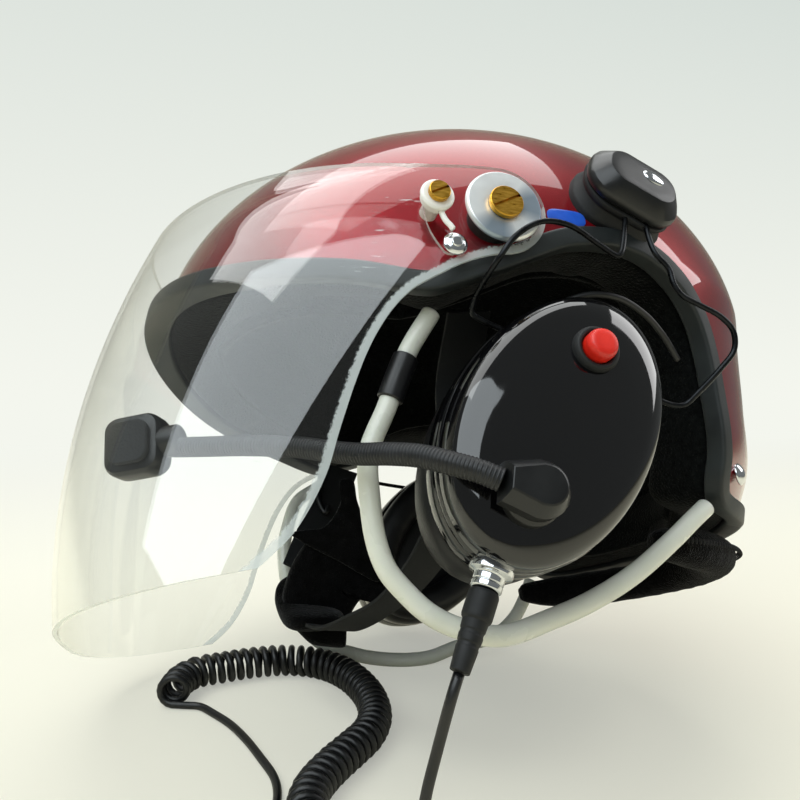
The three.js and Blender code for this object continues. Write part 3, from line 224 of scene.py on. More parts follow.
def wallFaces(rings, sides, closed=False, closedRing=True, capped=False):  # four-sided faces between rings of points
    faces = []
    for i in range(rings if closed else rings - 1):
        j = (i + 1) % rings
        for k in range(sides if closedRing else sides - 1):
            m = (k + 1) % sides
            faces.append([i * sides + k, i * sides + m, j * sides + m, j * sides + k])
    if capped:
        faces += [list(range(sides))[::-1], [(rings - 1) * sides + k for k in range(sides)]]
    return faces


def tubeShape(line, radius, sides=16, rounded=0.0):  # a hose along a line; rounded is how far its ends draw in
    line = np.asarray(line, float)
    radius = np.full(len(line), radius, float)
    tangent, side, other = carriedFrames(line)
    if rounded:
        line = np.vstack([line[:1] - tangent[:1] * rounded, line, line[-1:] + tangent[-1:] * rounded])
        side, other = np.vstack([side[:1], side, side[-1:]]), np.vstack([other[:1], other, other[-1:]])
        radius = np.r_[radius[0] - rounded, radius, radius[-1] - rounded]
    turn = circle(sides)
    ring = side[:, None] * np.cos(turn)[None, :, None] + other[:, None] * np.sin(turn)[None, :, None]
    points = (line[:, None] + ring * radius[:, None, None]).reshape(-1, 3)
    return points, wallFaces(len(line), sides, capped=True)


def softened(profile, size, steps=3):  # a profile whose corners are rounded
    p = [np.array(q, float) for q in profile]
    made = [p[0]]
    for a, b, c in zip(p, p[1:], p[2:]):
        cut = min(size, np.linalg.norm(a - b) * 0.45, np.linalg.norm(c - b) * 0.45)
        start, end = b + unit(a - b) * cut, b + unit(c - b) * cut
        for t in np.linspace(0, 1, steps + 1):
            made.append((1 - t) ** 2 * start + 2 * t * (1 - t) * b + t ** 2 * end)
    return made + [p[-1]]


def turnedShape(profile, segments=48):  # a piece turned round its own Z; a profile is radius, height
    turn = circle(segments)
    points, starts, faces = [], [], []
    onAxis = [radius < 1e-6 for radius, _ in profile]
    for (radius, height), pole in zip(profile, onAxis):
        starts.append(len(points))
        if pole:
            points.append([0, 0, height])
        else:
            points += np.stack([radius * np.cos(turn), radius * np.sin(turn), np.full(segments, height)], -1).tolist()
    for a, b, poleA, poleB in zip(starts, starts[1:], onAxis, onAxis[1:]):
        for k in range(0 if poleA and poleB else segments):
            m = (k + 1) % segments
            if poleA:
                faces.append([a, b + m, b + k])
            elif poleB:
                faces.append([a + k, a + m, b])
            else:
                faces.append([a + k, a + m, b + m, b + k])
    return np.array(points, float), faces


def lathe(profile, corner, segments=48, steps=3):  # a turned piece with rounded corners
    return turnedShape(softened(profile, corner, steps), segments)


def seated(points, place, out, along=(1, 0, 0)):  # turns a shape's Z to out and its X near along, and moves it
    z = unit(np.array(out, float))
    x = np.array(along, float)
    x = unit(x - z * x.dot(z))
    return np.asarray(points) @ np.stack([x, np.cross(z, x), z]) + np.array(place, float)


def clipped(points, faces, field):  # keeps what lies where the field is positive, cut on its zero line
    made, kept, known = list(points), [], {}

    def crossing(a, b):
        key = (min(a, b), max(a, b))
        if key not in known:
            known[key] = len(made)
            made.append(points[a] + (points[b] - points[a]) * (field[a] / (field[a] - field[b])))
        return known[key]

    for face in faces:
        inside = [field[i] > 0 for i in face]
        if all(inside):
            kept.append(face)
        elif any(inside):
            loop = []
            for a, b in zip(face, face[1:] + face[:1]):
                if field[a] > 0:
                    loop.append(a)
                if (field[a] > 0) != (field[b] > 0):
                    loop.append(crossing(a, b))
            kept.append(loop)
    return np.array(made), kept


def lineDistance(x, z, line):  # signed distance to a side-view line, positive on its left
    best, sign = np.full(x.shape, 1e9), np.ones(x.shape)
    for (ax, az), (dx, dz) in zip(line, np.diff(line, axis=0)):
        share = np.clip(((x - ax) * dx + (z - az) * dz) / (dx * dx + dz * dz), 0, 1)
        gap = np.hypot(x - ax - dx * share, z - az - dz * share)
        near = gap < best
        best = np.where(near, gap, best)
        sign = np.where(near, np.sign(dx * (z - az) - dz * (x - ax)), sign)
    return best * sign


def build(name, points, faces, materials, metres=False, sharp=35, merge=0.01):  # a piece, its doubles merged
    points = np.asarray(points, float) if metres else onHelmet(points)
    mesh = bpy.data.meshes.new(name)
    mesh.from_pydata(points.tolist(), [], [list(map(int, f)) for f in faces])
    for one in materials if isinstance(materials, list) else [materials]:
        mesh.materials.append(one)
    work = bmesh.new()
    work.from_mesh(mesh)
    bmesh.ops.remove_doubles(work, verts=work.verts, dist=merge * 0.001)
    bmesh.ops.delete(work, geom=[v for v in work.verts if not v.link_faces], context="VERTS")
    bmesh.ops.recalc_face_normals(work, faces=work.faces)
    work.to_mesh(mesh)
    work.free()
    piece = bpy.data.objects.new(name, mesh)
    scene.collection.objects.link(piece)
    mesh.shade_smooth()
    if sharp:
        mesh.set_sharp_from_angle(angle=math.radians(sharp))
    return piece


def together(*shapes):  # several shapes as one list of points and faces
    points, faces = [], []
    for p, f in shapes:
        start = sum(len(q) for q in points)
        points.append(np.asarray(p))
        faces += [[start + i for i in face] for face in f]
    return np.vstack(points), faces


def mirrored(shape):
    points, faces = shape
    return np.asarray(points) * [1, -1, 1], [list(f)[::-1] for f in faces]


def modified(piece, kind, **settings):
    made = piece.modifiers.new(kind.lower(), kind)
    for key, value in settings.items():
        setattr(made, key, value)
    return made


def settle(piece):  # turns the modifiers into the mesh
    bpy.context.view_layer.update()
    graph = bpy.context.evaluated_depsgraph_get()
    mesh = bpy.data.meshes.new_from_object(piece.evaluated_get(graph))
    piece.modifiers.clear()
    piece.data = mesh
    return piece


def stand(piece, node):  # the piece takes the place of this node
    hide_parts(node)
    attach(piece, frame["nodes"][node]["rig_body"])
    return piece


def fitted(node, shape, material, slot, name=None, **options):  # builds a piece in the place of a node
    return stand(build(name or f"{node}_piece", *shape, material, **options), node)


# the node tree for what repeats
def repeatedTree():  # small rings, one at each step of a path, across it
    tree = bpy.data.node_groups.new("repeated along a path", "GeometryNodeTree")
    tree.interface.new_socket("Geometry", in_out="INPUT", socket_type="NodeSocketGeometry")
    names = {}
    for label, value in (("Pitch", 0.002), ("Ring Radius", 0.004), ("Thickness", 0.0005), ("Flatness", 1.0),
                         ("Tilt", 0.0)):
        socket = tree.interface.new_socket(label, in_out="INPUT", socket_type="NodeSocketFloat")
        socket.default_value = value
        names[label] = socket.identifier
    names["Finish"] = tree.interface.new_socket("Finish", in_out="INPUT", socket_type="NodeSocketMaterial").identifier
    tree.interface.new_socket("Geometry", in_out="OUTPUT", socket_type="NodeSocketGeometry")
    given = put(tree, "NodeGroupInput").outputs
    curve = put(tree, "GeometryNodeMeshToCurve", {"Mesh": given["Geometry"]})
    steps = put(tree, "GeometryNodeResampleCurve", {"Curve": curve.outputs["Curve"], "Length": given["Pitch"]},
                mode="LENGTH")
    tangent = put(tree, "GeometryNodeInputTangent")
    turned = put(tree, "FunctionNodeAlignEulerToVector", {"Vector": tangent.outputs["Tangent"]}, axis="Z")
    tilted = put(tree, "FunctionNodeRotateEuler", {
        "Rotation": turned.outputs["Rotation"], "Axis": (1, 0, 0), "Angle": given["Tilt"]},
        rotation_type="AXIS_ANGLE", space="LOCAL")
    ring = put(tree, "GeometryNodeCurvePrimitiveCircle", {"Resolution": 20, "Radius": given["Ring Radius"]})
    section = put(tree, "GeometryNodeCurvePrimitiveCircle", {"Resolution": 6, "Radius": given["Thickness"]})
    torus = put(tree, "GeometryNodeCurveToMesh", {
        "Curve": ring.outputs["Curve"], "Profile Curve": section.outputs["Curve"]})
    stretch = put(tree, "ShaderNodeCombineXYZ", {"X": 1.0, "Y": given["Flatness"], "Z": 1.0})
    placed = put(tree, "GeometryNodeInstanceOnPoints", {
        "Points": steps.outputs["Curve"], "Instance": torus.outputs["Mesh"], "Rotation": tilted.outputs["Rotation"],
        "Scale": stretch.outputs["Vector"]})
    real = put(tree, "GeometryNodeRealizeInstances", {"Geometry": placed.outputs["Instances"]})
    smooth = put(tree, "GeometryNodeSetShadeSmooth", {"Geometry": real.outputs["Geometry"]})
    painted = put(tree, "GeometryNodeSetMaterial", {
        "Geometry": smooth.outputs["Geometry"], "Material": given["Finish"]})
    put(tree, "NodeGroupOutput", {"Geometry": painted.outputs["Geometry"]})
    return tree, names


repeated, repeatedNames = repeatedTree()


def repeatAlong(name, line, values, material):  # runs the tree on a line and keeps plain mesh
    mesh = bpy.data.meshes.new(name)
    mesh.from_pydata(onHelmet(line).tolist(), [(i, i + 1) for i in range(len(line) - 1)], [])
    piece = bpy.data.objects.new(name, mesh)
    scene.collection.objects.link(piece)
    made = modified(piece, "NODES", node_group=repeated)
    for key, value in values.items():
        made[repeatedNames[key]] = float(value)
    made[repeatedNames["Finish"]] = material
    return settle(piece)


print("helpers ready")

# finishes
foamFinish = finish("charcoal foam", {"dark": "1c1d1f", "light": "2a2c2e", "scale": 60, "rough": (0.85, 0.97),
                    "grain": 900, "bump": 0.5, "pebbled": True})
liningFinish = finish("brushed lining cloth", {"dark": "040505", "light": "121414", "scale": 420, "rough": (0.9, 1.0),
                      "grain": 900, "bump": 1.0, "depth": 0.0012, "shine": 0.05, "Sheen Weight": 0.06,
                      "Sheen Roughness": 0.4})
velourFinish = finish("black velour", {"dark": "040404", "light": "0e0e0f", "scale": 240, "rough": (0.9, 1.0),
                      "grain": 1200, "bump": 1.0, "depth": 0.0009, "shine": 0.05, "Sheen Weight": 0.12,
                      "Sheen Roughness": 0.3})
threadFinish = finish("sewing thread", {"dark": "0c0c0d", "light": "1c1c1e", "scale": 900, "rough": (0.6, 0.8),
                      "grain": 4000, "bump": 0.5, "depth": 0.0001})
rubberFinish = finish("grey edge rubber", {"dark": "15191a", "light": "212728", "scale": 45, "rough": (0.46, 0.62),
                      "grain": 1800, "bump": 0.22, "depth": 0.0002, "shine": 0.45})
satinFinish = finish("satin black plastic", {"dark": "060708", "light": "0c0e0f", "scale": 70, "rough": (0.3, 0.42),
                     "grain": 2400, "bump": 0.12, "depth": 0.0001})
gasketFinish = finish("matt black rubber", {"dark": "0b0c0d", "light": "151718", "scale": 80, "rough": (0.55, 0.7),
                      "grain": 2000, "bump": 0.2, "depth": 0.00015, "shine": 0.4})
leatherFinish = finish("leatherette", {"dark": "060607", "light": "101112", "scale": 90, "rough": (0.36, 0.5),
                       "grain": 1100, "bump": 0.28, "depth": 0.00025, "pebbled": True})
cableFinish = finish("cable jacket", {"dark": "080809", "light": "121314", "scale": 120, "rough": (0.34, 0.46),
                     "grain": 2600, "bump": 0.1, "depth": 0.0001})
boomFinish = finish("gooseneck jacket", {"dark": "0b0c0d", "light": "15171a", "scale": 150, "rough": (0.42, 0.52),
                    "grain": 2500, "bump": 0.12, "depth": 0.0001})
wireFinish = finish("blackened spring wire", {"dark": "141517", "light": "26282a", "scale": 200, "rough": (0.22, 0.36),
                    "grain": 3000, "bump": 0.05, "depth": 0.0001, "metal": 0.85})
nylonFinish = finish("white nylon", {"dark": "e4e2dc", "light": "f4f3ee", "scale": 60, "rough": (0.3, 0.42),
                     "grain": 1500, "bump": 0.06, "depth": 0.0001, "Coat Weight": 0.15})
buttonFinish = finish("red button plastic", {"dark": "c3190c", "light": "dd2615", "scale": 70, "rough": (0.34, 0.44),
                      "grain": 2600, "bump": 0.15, "depth": 0.0001})
steelFinish = finish("bright steel", {"dark": "c9ccd0", "light": "e2e4e6", "scale": 90, "rough": (0.08, 0.16),
                     "grain": 1600, "bump": 0.03, "depth": 0.0001, "metal": 1.0})
brassFinish = finish("brushed brass", {"dark": "b98524", "light": "dfae4a", "scale": 300, "rough": (0.26, 0.4),
                     "grain": 2400, "bump": 0.12, "depth": 0.0001, "metal": 1.0, "stretch": (1, 1, 6)})


def paintFinish():  # deep red candy paint over fine flake
    made, tree, place = started("candy red paint")
    cloud = noise(tree, place, 14.0, 3.0)
    flake = put(tree, "ShaderNodeTexVoronoi", {"Vector": place, "Scale": 2600.0})
    spark = mapped(tree, flake.outputs["Color"], (0.55, 1.0), (0.0, 0.35))
    colour = put(tree, "ShaderNodeMix", {
        "Factor": spark, 6: ramp(tree, cloud, ("720411", "8e0819")), 7: rgb("a81b28")}, data_type="RGBA").outputs[2]
    return covered(made, {
        "Base Color": colour, "Metallic": 0.5, "Roughness": mapped(tree, cloud, middleRange, (0.3, 0.38)),
        "Specular Tint": rgb("a01020"), "Normal": bumped(tree, flake.outputs["Distance"], 0.06, 0.0001),
        "Coat Weight": 1.0, "Coat Roughness": 0.03, "Coat IOR": 1.42})


def glossFinish():  # polished black shell plastic
    made, tree, place = started("gloss black")
    cloud = noise(tree, place, 9.0, 2.0)
    wipe = noise(tree, place, 120.0, 5.0, Distortion=1.5)
    return covered(made, {
        "Base Color": ramp(tree, cloud, ("050506", "0a0a0c")), "Normal": bumped(tree, cloud, 0.04, 0.001),
        "Roughness": mapped(tree, wipe, (0.45, 0.75), (0.035, 0.085)), "IOR": 1.5, "Coat Weight": 0.4,
        "Coat Roughness": 0.03})


def spunWithPaintedReflection(centre):  # silver disc turned on a lathe, with two darker bluish sectors painted into its colour: a painted reflection of where its grain turns from the light
    made, tree, place = started("spun silver and painted reflection")
    moved = put(tree, "ShaderNodeVectorMath", {0: place, 1: tuple(centre)}, operation="SUBTRACT").outputs["Vector"]
    parts = put(tree, "ShaderNodeSeparateXYZ", {"Vector": moved}).outputs
    angle = maths(tree, "ARCTAN2", parts["Z"], parts["X"])
    # painted reflection: the two sectors lie at fixed angles round the disc's centre
    sectors = [mapped(tree, maths(tree, "COSINE", maths(tree, "SUBTRACT", angle, middle)), (0.72, 0.97))
               for middle in (0.05, -2.05)]
    distance = put(tree, "ShaderNodeVectorMath", {0: moved}, operation="LENGTH").outputs["Value"]
    grooves = maths(tree, "SINE", maths(tree, "MULTIPLY", distance, 9000.0))
    cloud = noise(tree, place, 260.0, 4.0)
    # the base colour goes from pale silver to bluish grey inside the painted reflection sectors
    return covered(made, {
        "Base Color": ramp(tree, maths(tree, "MAXIMUM", *sectors), ("f0f2f2", "8d9aa6")), "Metallic": 0.6,
        "Roughness": mapped(tree, cloud, middleRange, (0.3, 0.38)), "Normal": bumped(tree, grooves, 0.05, 0.00002)})


def milkyFinish():  # hose of cloudy vinyl
    made, tree, place = started("milky hose")
    cloud = noise(tree, place, 45.0, 4.0)
    return covered(made, {
        "Base Color": ramp(tree, cloud, ("cccec2", "e2e3da")), "Normal": bumped(tree, cloud, 0.1, 0.0005),
        "Roughness": mapped(tree, cloud, middleRange, (0.2, 0.32)), "Subsurface Weight": 0.5,
        "Subsurface Radius": (0.9, 1.0, 0.85), "Subsurface Scale": 0.003, "Coat Weight": 0.2, "Coat Roughness": 0.1})


def stickerFinish():
    made, tree, place = started("blue label film")
    cloud = noise(tree, place, 300.0, 3.0)
    return covered(made, {"Base Color": ramp(tree, cloud, ("1a4ab4", "2a62d2")), "Roughness": 0.3,
                          "Normal": bumped(tree, cloud, 0.05, 0.0002)})


paint, gloss, milky, sticker = paintFinish(), glossFinish(), milkyFinish(), stickerFinish()
visorLook = {"clarity": (0.985, 0.99, 0.985, 1), "gloss": 1.5, "rough": 0.018, "frost": "dfe6e6", "frostWidth": 0.0052,
             "frostShare": 0.36, "fray": 0.004, "scuff": 0.55}


def visorFinish(s):  # clear sheet; the edge attribute is how far a point lies from the rear edge
    made, tree, place = started("clear visor sheet")
    edge, near = [put(tree, "ShaderNodeAttribute", attribute_name=name).outputs["Fac"] for name in ("edge", "scuffed")]
    frayed = maths(tree, "MULTIPLY", noise(tree, place, 700.0, 5.0, Roughness=0.7), s["fray"])
    frost = mapped(tree, maths(tree, "ADD", edge, frayed), (s["frostWidth"] - 0.0006, s["frostWidth"]),
                   (s["frostShare"], 0.0))
    streaked = put(tree, "ShaderNodeMapping", {"Vector": place, "Scale": (14, 14, 220), "Rotation": (0.5, 0.35, 0)})
    hairline = mapped(tree, noise(tree, streaked.outputs["Vector"], 6.0, 6.0), (0.69, 0.72), (0.0, s["scuff"]))
    haze = maths(tree, "MAXIMUM", frost, maths(tree, "MULTIPLY", hairline, near))
    clear = put(tree, "ShaderNodeBsdfTransparent", {"Color": s["clarity"]}).outputs["BSDF"]
    shine = put(tree, "ShaderNodeBsdfGlossy", {"Color": (1, 1, 1, 1), "Roughness": s["rough"]}).outputs["BSDF"]
    behind = put(tree, "ShaderNodeNewGeometry").outputs["Backfacing"]  # a face seen from behind bends light back
    bend = put(tree, "ShaderNodeFresnel", {"IOR": mapped(tree, behind, (0.0, 1.0), (s["gloss"], 1 / s["gloss"]))})
    chalk = put(tree, "ShaderNodeBsdfPrincipled", {"Base Color": rgb(s["frost"]), "Roughness": 0.55}).outputs["BSDF"]
    return covered(made, mixed(tree, haze, mixed(tree, bend.outputs["Fac"], clear, shine), chalk))


def visorEdgeFinish():  # the sawn and polished edge of the sheet
    made, tree, place = started("sheet edge")
    tint = ramp(tree, noise(tree, place, 400.0, 3.0), ("c9d2d0", "f2f5f4"))
    clear = put(tree, "ShaderNodeBsdfTransparent", {"Color": (0.95, 0.97, 0.96, 1)}).outputs["BSDF"]
    body = put(tree, "ShaderNodeBsdfPrincipled", {"Base Color": tint, "Roughness": 0.25}).outputs["BSDF"]
    return covered(made, mixed(tree, 0.6, clear, body))


visorClear, visorEdge = visorFinish(visorLook), visorEdgeFinish()
print("finishes ready")

# cable: down from the cup, through its curls and out to the plug
cable = {
    "radius": 1.85, "bendFrom": 0.03, "curl": 6.4, "pitch": 5.0, "leastPitch": 4.2, "stepsPerTurn": 16,
    "axisSteps": 1201, "evenedOver": 25, "clearance": 0.1, "leadHeight": 2.3, "joinHeight": 2.0, "lineSteps": 60,
    "curlAxis": [(-138.4, 22.5), (-133.8, 35), (-126, 43), (-111.4, 46.4), (-94.1, 48.8), (-78, 47.6), (-65, 42),
                 (-55.5, 33), (-49, 20.5), (-45.4, 5.5), (-44.6, -10), (-47.4, -26.5), (-54.4, -40.4),
                 (-64.4, -51.4), (-76, -63.4), (-86.4, -77.2), (-91.4, -91), (-92, -104)],
    "lead": [(-62.3, -154, 62), (-65.8, -154.3, 47), (-67.2, -153.5, 30), (-64.8, -149.5, 15), (-59.4, -140, 5.6),
             (-55.5, -128, 2.6), (-57.5, -115.5, 2.3), (-65, -107.4, 2.3), (-74, -104.4, 2.3)],
    "tail": [(-125.4, 17.5), (-119, 8), (-112.4, -4), (-106.7, -19.5), (-101.8, -38.1), (-98.4, -53.6), (-98.4, -65),
             (-101, -78), (-104, -90), (-105.6, -101, 3.2), (-106.4, -112, 5.2)],
}
outlet = {"lean": 27.0, "x": -38.9, "z": -72.0, "seam": 118.0, "reliefEnd": 35.6}
outletDown = np.array([-math.sin(math.radians(outlet["lean"])), 0, -math.cos(math.radians(outlet["lean"]))])
outletTop = np.array([outlet["x"], -outlet["seam"], outlet["z"]])
upward = np.array([0, 0, 1.0])


def curlRoute(s):  # the coil's centreline, in table millimetres, and the way out at its two ends
    axis = smoothRoute([(x, y, 0) for x, y in s["curlAxis"]], s["axisSteps"])
    run = np.linalg.norm(np.diff(axis, axis=0), axis=1)
    tangent = unit(np.gradient(axis, axis=0))
    bend = np.arccos(np.clip((tangent[1:] * tangent[:-1]).sum(1), -1, 1)) / run
    bend = np.convolve(bend, np.ones(s["evenedOver"]) / s["evenedOver"], "same")
    pitch = np.maximum(s["pitch"], s["leastPitch"] / (1 - s["curl"] * bend))
    turns = np.r_[0, np.cumsum(run / pitch)]
    count = round(turns[-1])
    wanted = np.linspace(0, turns[-1], count * s["stepsPerTurn"] + 1)
    middle = np.stack([np.interp(wanted, turns, axis[:, k]) for k in range(3)], -1)
    heading = unit(np.stack([np.interp(wanted, turns, tangent[:, k]) for k in range(3)], -1))
    turn = -math.pi / 2 - 2 * math.pi * np.linspace(0, count, len(wanted))
    out = np.cross(heading, upward) * np.cos(turn)[:, None] + upward * np.sin(turn)[:, None]
    lift = upward * (s["curl"] + s["radius"] + s["clearance"])
    return middle + out * s["curl"] + lift, unit(np.cross(tangent[0], upward)), -unit(np.cross(tangent[-1], upward))


def cableRoute(s):  # from the strain relief to the plug, in table millimetres
    curl, runIn, runOut = curlRoute(s)
    foot = onHelmet(outletTop + outletDown * (outlet["reliefEnd"] + 0.5)) * 1000 - np.array(helmetPlace["table"])
    down = np.array([outletDown[0], outletDown[2] * leanSin, outletDown[2] * leanCos])
    end = curl[-1] + runOut * 4
    lead = [foot, foot + down * 6] + [np.array(p, float) for p in s["lead"]]
    lead += [np.array([*(end + runOut * 5)[:2], s["leadHeight"]]), np.array([*end[:2], s["joinHeight"]])]
    start = curl[0] + runIn * 4
    tail = [start, start + runIn * 4]
    tail += [np.array([p[0], p[1], p[2] if len(p) > 2 else start[2]], float) for p in s["tail"]]
    return np.vstack([smoothRoute(lead, s["lineSteps"]), curl[::-1], smoothRoute(tail, s["lineSteps"])])


cableLine = cableRoute(cable)
cablePoints, cableFaces = tubeShape(cableLine, cable["radius"], 10)
cord = build("cable", onTable(cablePoints), cableFaces, cableFinish, metres=True, sharp=0, merge=0.001)

plugShape = lathe([(0, 0), (2.4, 0), (4.4, 9), (5, 10), (5, 26), (4.2, 27), (3.1, 27.4), (3.1, 42), (2.2, 44.5),
                   (0, 45.5)], 0.6, 32)
plugEnd = np.array(cable["tail"][-1], float)
plugRun = plugEnd - np.array(cable["tail"][-2], float)
plugRun[2] = 0
plugRun = unit(plugRun)
pinFrom, pastCable = 27.2, 0.5
plugPoints = seated(plugShape[0], plugEnd + plugRun * pastCable, plugRun)
plug = build("plug_body", onTable(plugPoints), plugShape[1], [gasketFinish, steelFinish], metres=True)
for face in plug.data.polygons:  # the contact pin is bare metal
    middle = np.mean([plug.data.vertices[i].co[:] for i in face.vertices], axis=0) * 1000
    face.material_index = 1 if (middle - np.array(helmetPlace["table"]) - plugEnd).dot(plugRun) > pinFrom else 0
stand(plug, "plug")
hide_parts("lead", "curly_cord", "tail")
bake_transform(cord)

# shell, its rim line and what follows it
shell = {
    "halfLength": 149.0, "halfWidth": 129.0, "crown": 118.0, "widest": 47.0, "back": 3.0, "drop": 104.0, "wall": 3.7,
    "skirt": [(0, 1), (0.16, 0.978), (0.45, 0.945), (0.74, 0.905), (0.9, 0.85), (1.38, 0.79)], "skirtSlope": -0.08,
    "skirtEnd": 1.3, "columns": 320, "domeRows": 84, "skirtRows": 72, "trimSeat": 2.6, "frontHeight": 60.0, "knee": 0.5,
    "rim": [(-1.15, 0.54), (-0.805, 0.356), (-0.503, 0.258), (-0.322, 0.198), (-0.255, 0.208), (-0.141, 0.238),
            (-0.054, 0.268), (0.034, 0.299), (0.121, 0.312), (0.208, 0.314), (0.295, 0.295), (0.369, 0.258),
            (0.43, 0.211), (0.47, 0.154), (0.493, 0.067), (0.503, -0.067), (0.503, -0.201), (0.496, -0.268),
            (0.513, -0.318), (0.557, -0.34), (0.8, -0.342), (1.15, -0.34)],
}
rimLine = smoothRoute(np.array(shell["rim"]) * shell["halfLength"], 260)


def skirtScale(drop):  # how much smaller than the widest line, by share of the drop
    knots = np.array(shell["skirt"])
    slope = np.gradient(knots[:, 1], knots[:, 0])
    slope[0] = shell["skirtSlope"]
    k = np.clip(np.searchsorted(knots[:, 0], drop, "right") - 1, 0, len(knots) - 2)
    width = knots[k + 1, 0] - knots[k, 0]
    t = (drop - knots[k, 0]) / width
    return ((2 * t ** 3 - 3 * t ** 2 + 1) * knots[k, 1] + (t ** 3 - 2 * t ** 2 + t) * width * slope[k]
            + (3 * t ** 2 - 2 * t ** 3) * knots[k + 1, 1] + (t ** 3 - t ** 2) * width * slope[k + 1])


def scaleAt(z):  # size of the shell's section at a height
    z = np.asarray(z, float)
    domed = np.sqrt(np.clip(1 - ((z - shell["widest"]) / shell["crown"]) ** 2, 0, 1))
    return np.where(z >= shell["widest"], domed, skirtScale(np.clip((shell["widest"] - z) / shell["drop"], 0, 1.379)))


def domeGrid(offset, columns, domeRows, skirtRows):
    turn = circle(columns)
    rings = []
    for fall in np.linspace(0.006, 1, domeRows):
        polar = math.pi / 2 * fall
        scale = ((shell["halfWidth"] + offset) * math.sin(polar) - offset) / shell["halfWidth"]
        rings.append((scale, shell["widest"] + (shell["crown"] + offset) * math.cos(polar)))
    for drop in np.linspace(0, shell["skirtEnd"], skirtRows + 1)[1:]:
        rings.append((float(skirtScale(drop)), shell["widest"] - shell["drop"] * drop))
    points = [[shell["back"], 0, shell["widest"] + shell["crown"] + offset]]
    for scale, height in rings:
        x = shell["back"] + (shell["halfLength"] * scale + offset) * np.cos(turn)
        y = (shell["halfWidth"] * scale + offset) * np.sin(turn)
        points += np.stack([x, y, np.full(columns, height)], -1).tolist()
    faces = [[0, 1 + k, 1 + (k + 1) % columns] for k in range(columns)]
    faces += [[i + 1 for i in f] for f in wallFaces(len(rings), columns)]
    return np.array(points), faces


def shellY(x, z):  # half width of the shell at a side-view point
    s = scaleAt(z)
    return shell["halfWidth"] * s * np.sqrt(np.clip(1 - ((x - shell["back"]) / (shell["halfLength"] * s)) ** 2, 0, 1))


def rimLoop(count, steps=40):  # the rim in space, round the whole helmet, front first, along the left side
    front = np.linspace(math.pi, math.pi - shell["knee"], steps)
    z = np.full(front.shape, shell["frontHeight"])
    ahead = rimLine[rimLine[:, 0] < -60]
    for _ in range(60):  # settles on the height where the front of the shell meets the rim line
        x = shell["back"] + shell["halfLength"] * scaleAt(z) * np.cos(front)
        z = 0.5 * z + 0.5 * np.interp(x, ahead[:, 0], ahead[:, 1])
    frontPoints = np.stack([x, -shell["halfWidth"] * scaleAt(z) * np.sin(front), z], -1)
    rear = np.linspace(shell["knee"], 0, steps)
    low = shell["rim"][-1][1] * shell["halfLength"]
    s = scaleAt(low)
    rearPoints = np.stack([shell["back"] + shell["halfLength"] * s * np.cos(rear),
                           -shell["halfWidth"] * s * np.sin(rear), np.full(rear.shape, low)], -1)
    side = rimLine[(rimLine[:, 0] > frontPoints[-1][0] + 1) & (rimLine[:, 0] < rearPoints[0][0] - 1)]
    sidePoints = np.stack([side[:, 0], -shellY(side[:, 0], side[:, 1]), side[:, 1]], -1)
    half = np.vstack([frontPoints, sidePoints, rearPoints])
    return evenly(np.vstack([half, half[::-1][1:-1] * [1, -1, 1], half[:1]]), count, closed=True)


def rimFrames(loop):  # outward normal, and the way up the shell from the rim
    s = scaleAt(loop[:, 2])
    grow = scaleAt(loop[:, 2] + 0.5) - scaleAt(loop[:, 2] - 0.5)
    normal = unit(np.stack([(loop[:, 0] - shell["back"]) / (shell["halfLength"] * s) ** 2,
                            loop[:, 1] / (shell["halfWidth"] * s) ** 2, -grow / s], -1))
    up = unit(np.cross(normal, np.roll(loop, -1, 0) - np.roll(loop, 1, 0)))
    return normal, up * np.sign(up[0][2])


def rimSweep(profile, count=480, nose=0.0):  # profile points are up the shell and out of it
    loop = rimLoop(count)
    normal, up = rimFrames(loop)
    ahead = np.clip((shell["back"] - loop[:, 0]) / shell["halfLength"], 0, 1) ** 2
    p = np.array(profile, float)
    proud = np.where(p[None, :, 1] > 0, p[None, :, 1] + nose * ahead[:, None], p[None, :, 1])
    points = loop[:, None] + up[:, None] * p[None, :, :1] + normal[:, None] * proud[..., None]
    return points.reshape(-1, 3), wallFaces(count, len(p), closed=True)


def aboveRim(points, faces, keep):  # what lies this far above the rim line
    return clipped(points, faces, lineDistance(points[:, 0], points[:, 2], rimLine) - keep)


skinShape = aboveRim(*domeGrid(0, shell["columns"], shell["domeRows"], shell["skirtRows"]), shell["trimSeat"])
skin = build("shell", *skinShape, paint, sharp=0)
modified(skin, "SOLIDIFY", thickness=shell["wall"] * 0.001, offset=-1)
stand(settle(skin), "outer_shell")

trim = {"tall": 8.0, "proud": 3.0, "inside": -5.3, "nose": 4.0, "corner": 1.6}
trimProfile = softened([(4, trim["proud"]), (0, trim["proud"]), (0, trim["inside"]), (trim["tall"], trim["inside"]),
                        (trim["tall"], trim["proud"]), (4, trim["proud"])], trim["corner"], 4)
edging = rimSweep(trimProfile[:-1], nose=trim["nose"])
fitted("edge_trim", edging, rubberFinish, "trim_rubber", name="rim_trim", sharp=40)

lining = {"inner": -31.5, "roll": [(2, -6.2), (1, -12), (1.2, -24), (3.5, -31), (9, -33.5), (15, -32.5), (22, -30.5),
                                   (22, -27), (10, -20), (8, -6.2)], "rollSteps": 36, "rimGap": 6,
          "channels": 3, "rowHeight": 42, "rowStart": 0.6, "middle": (3.0, 0, 30.0), "quilt": 3.0, "thick": 0.0025}
innerPoints, innerFaces = domeGrid(lining["inner"], columns=240, domeRows=70, skirtRows=60)
panel = np.arctan2(innerPoints[:, 1], innerPoints[:, 0] - lining["middle"][0]) * lining["channels"]
row = innerPoints[:, 2] / lining["rowHeight"] + lining["rowStart"]
channel = np.abs(np.sin(panel)) ** 0.35 * np.abs(np.sin(row)) ** 0.3
inward = unit(innerPoints - np.array(lining["middle"]))
innerPoints = innerPoints - inward * (lining["quilt"] * channel)[:, None]
pad = build("padded_lining", *aboveRim(innerPoints, innerFaces, lining["rimGap"]), liningFinish, sharp=0)
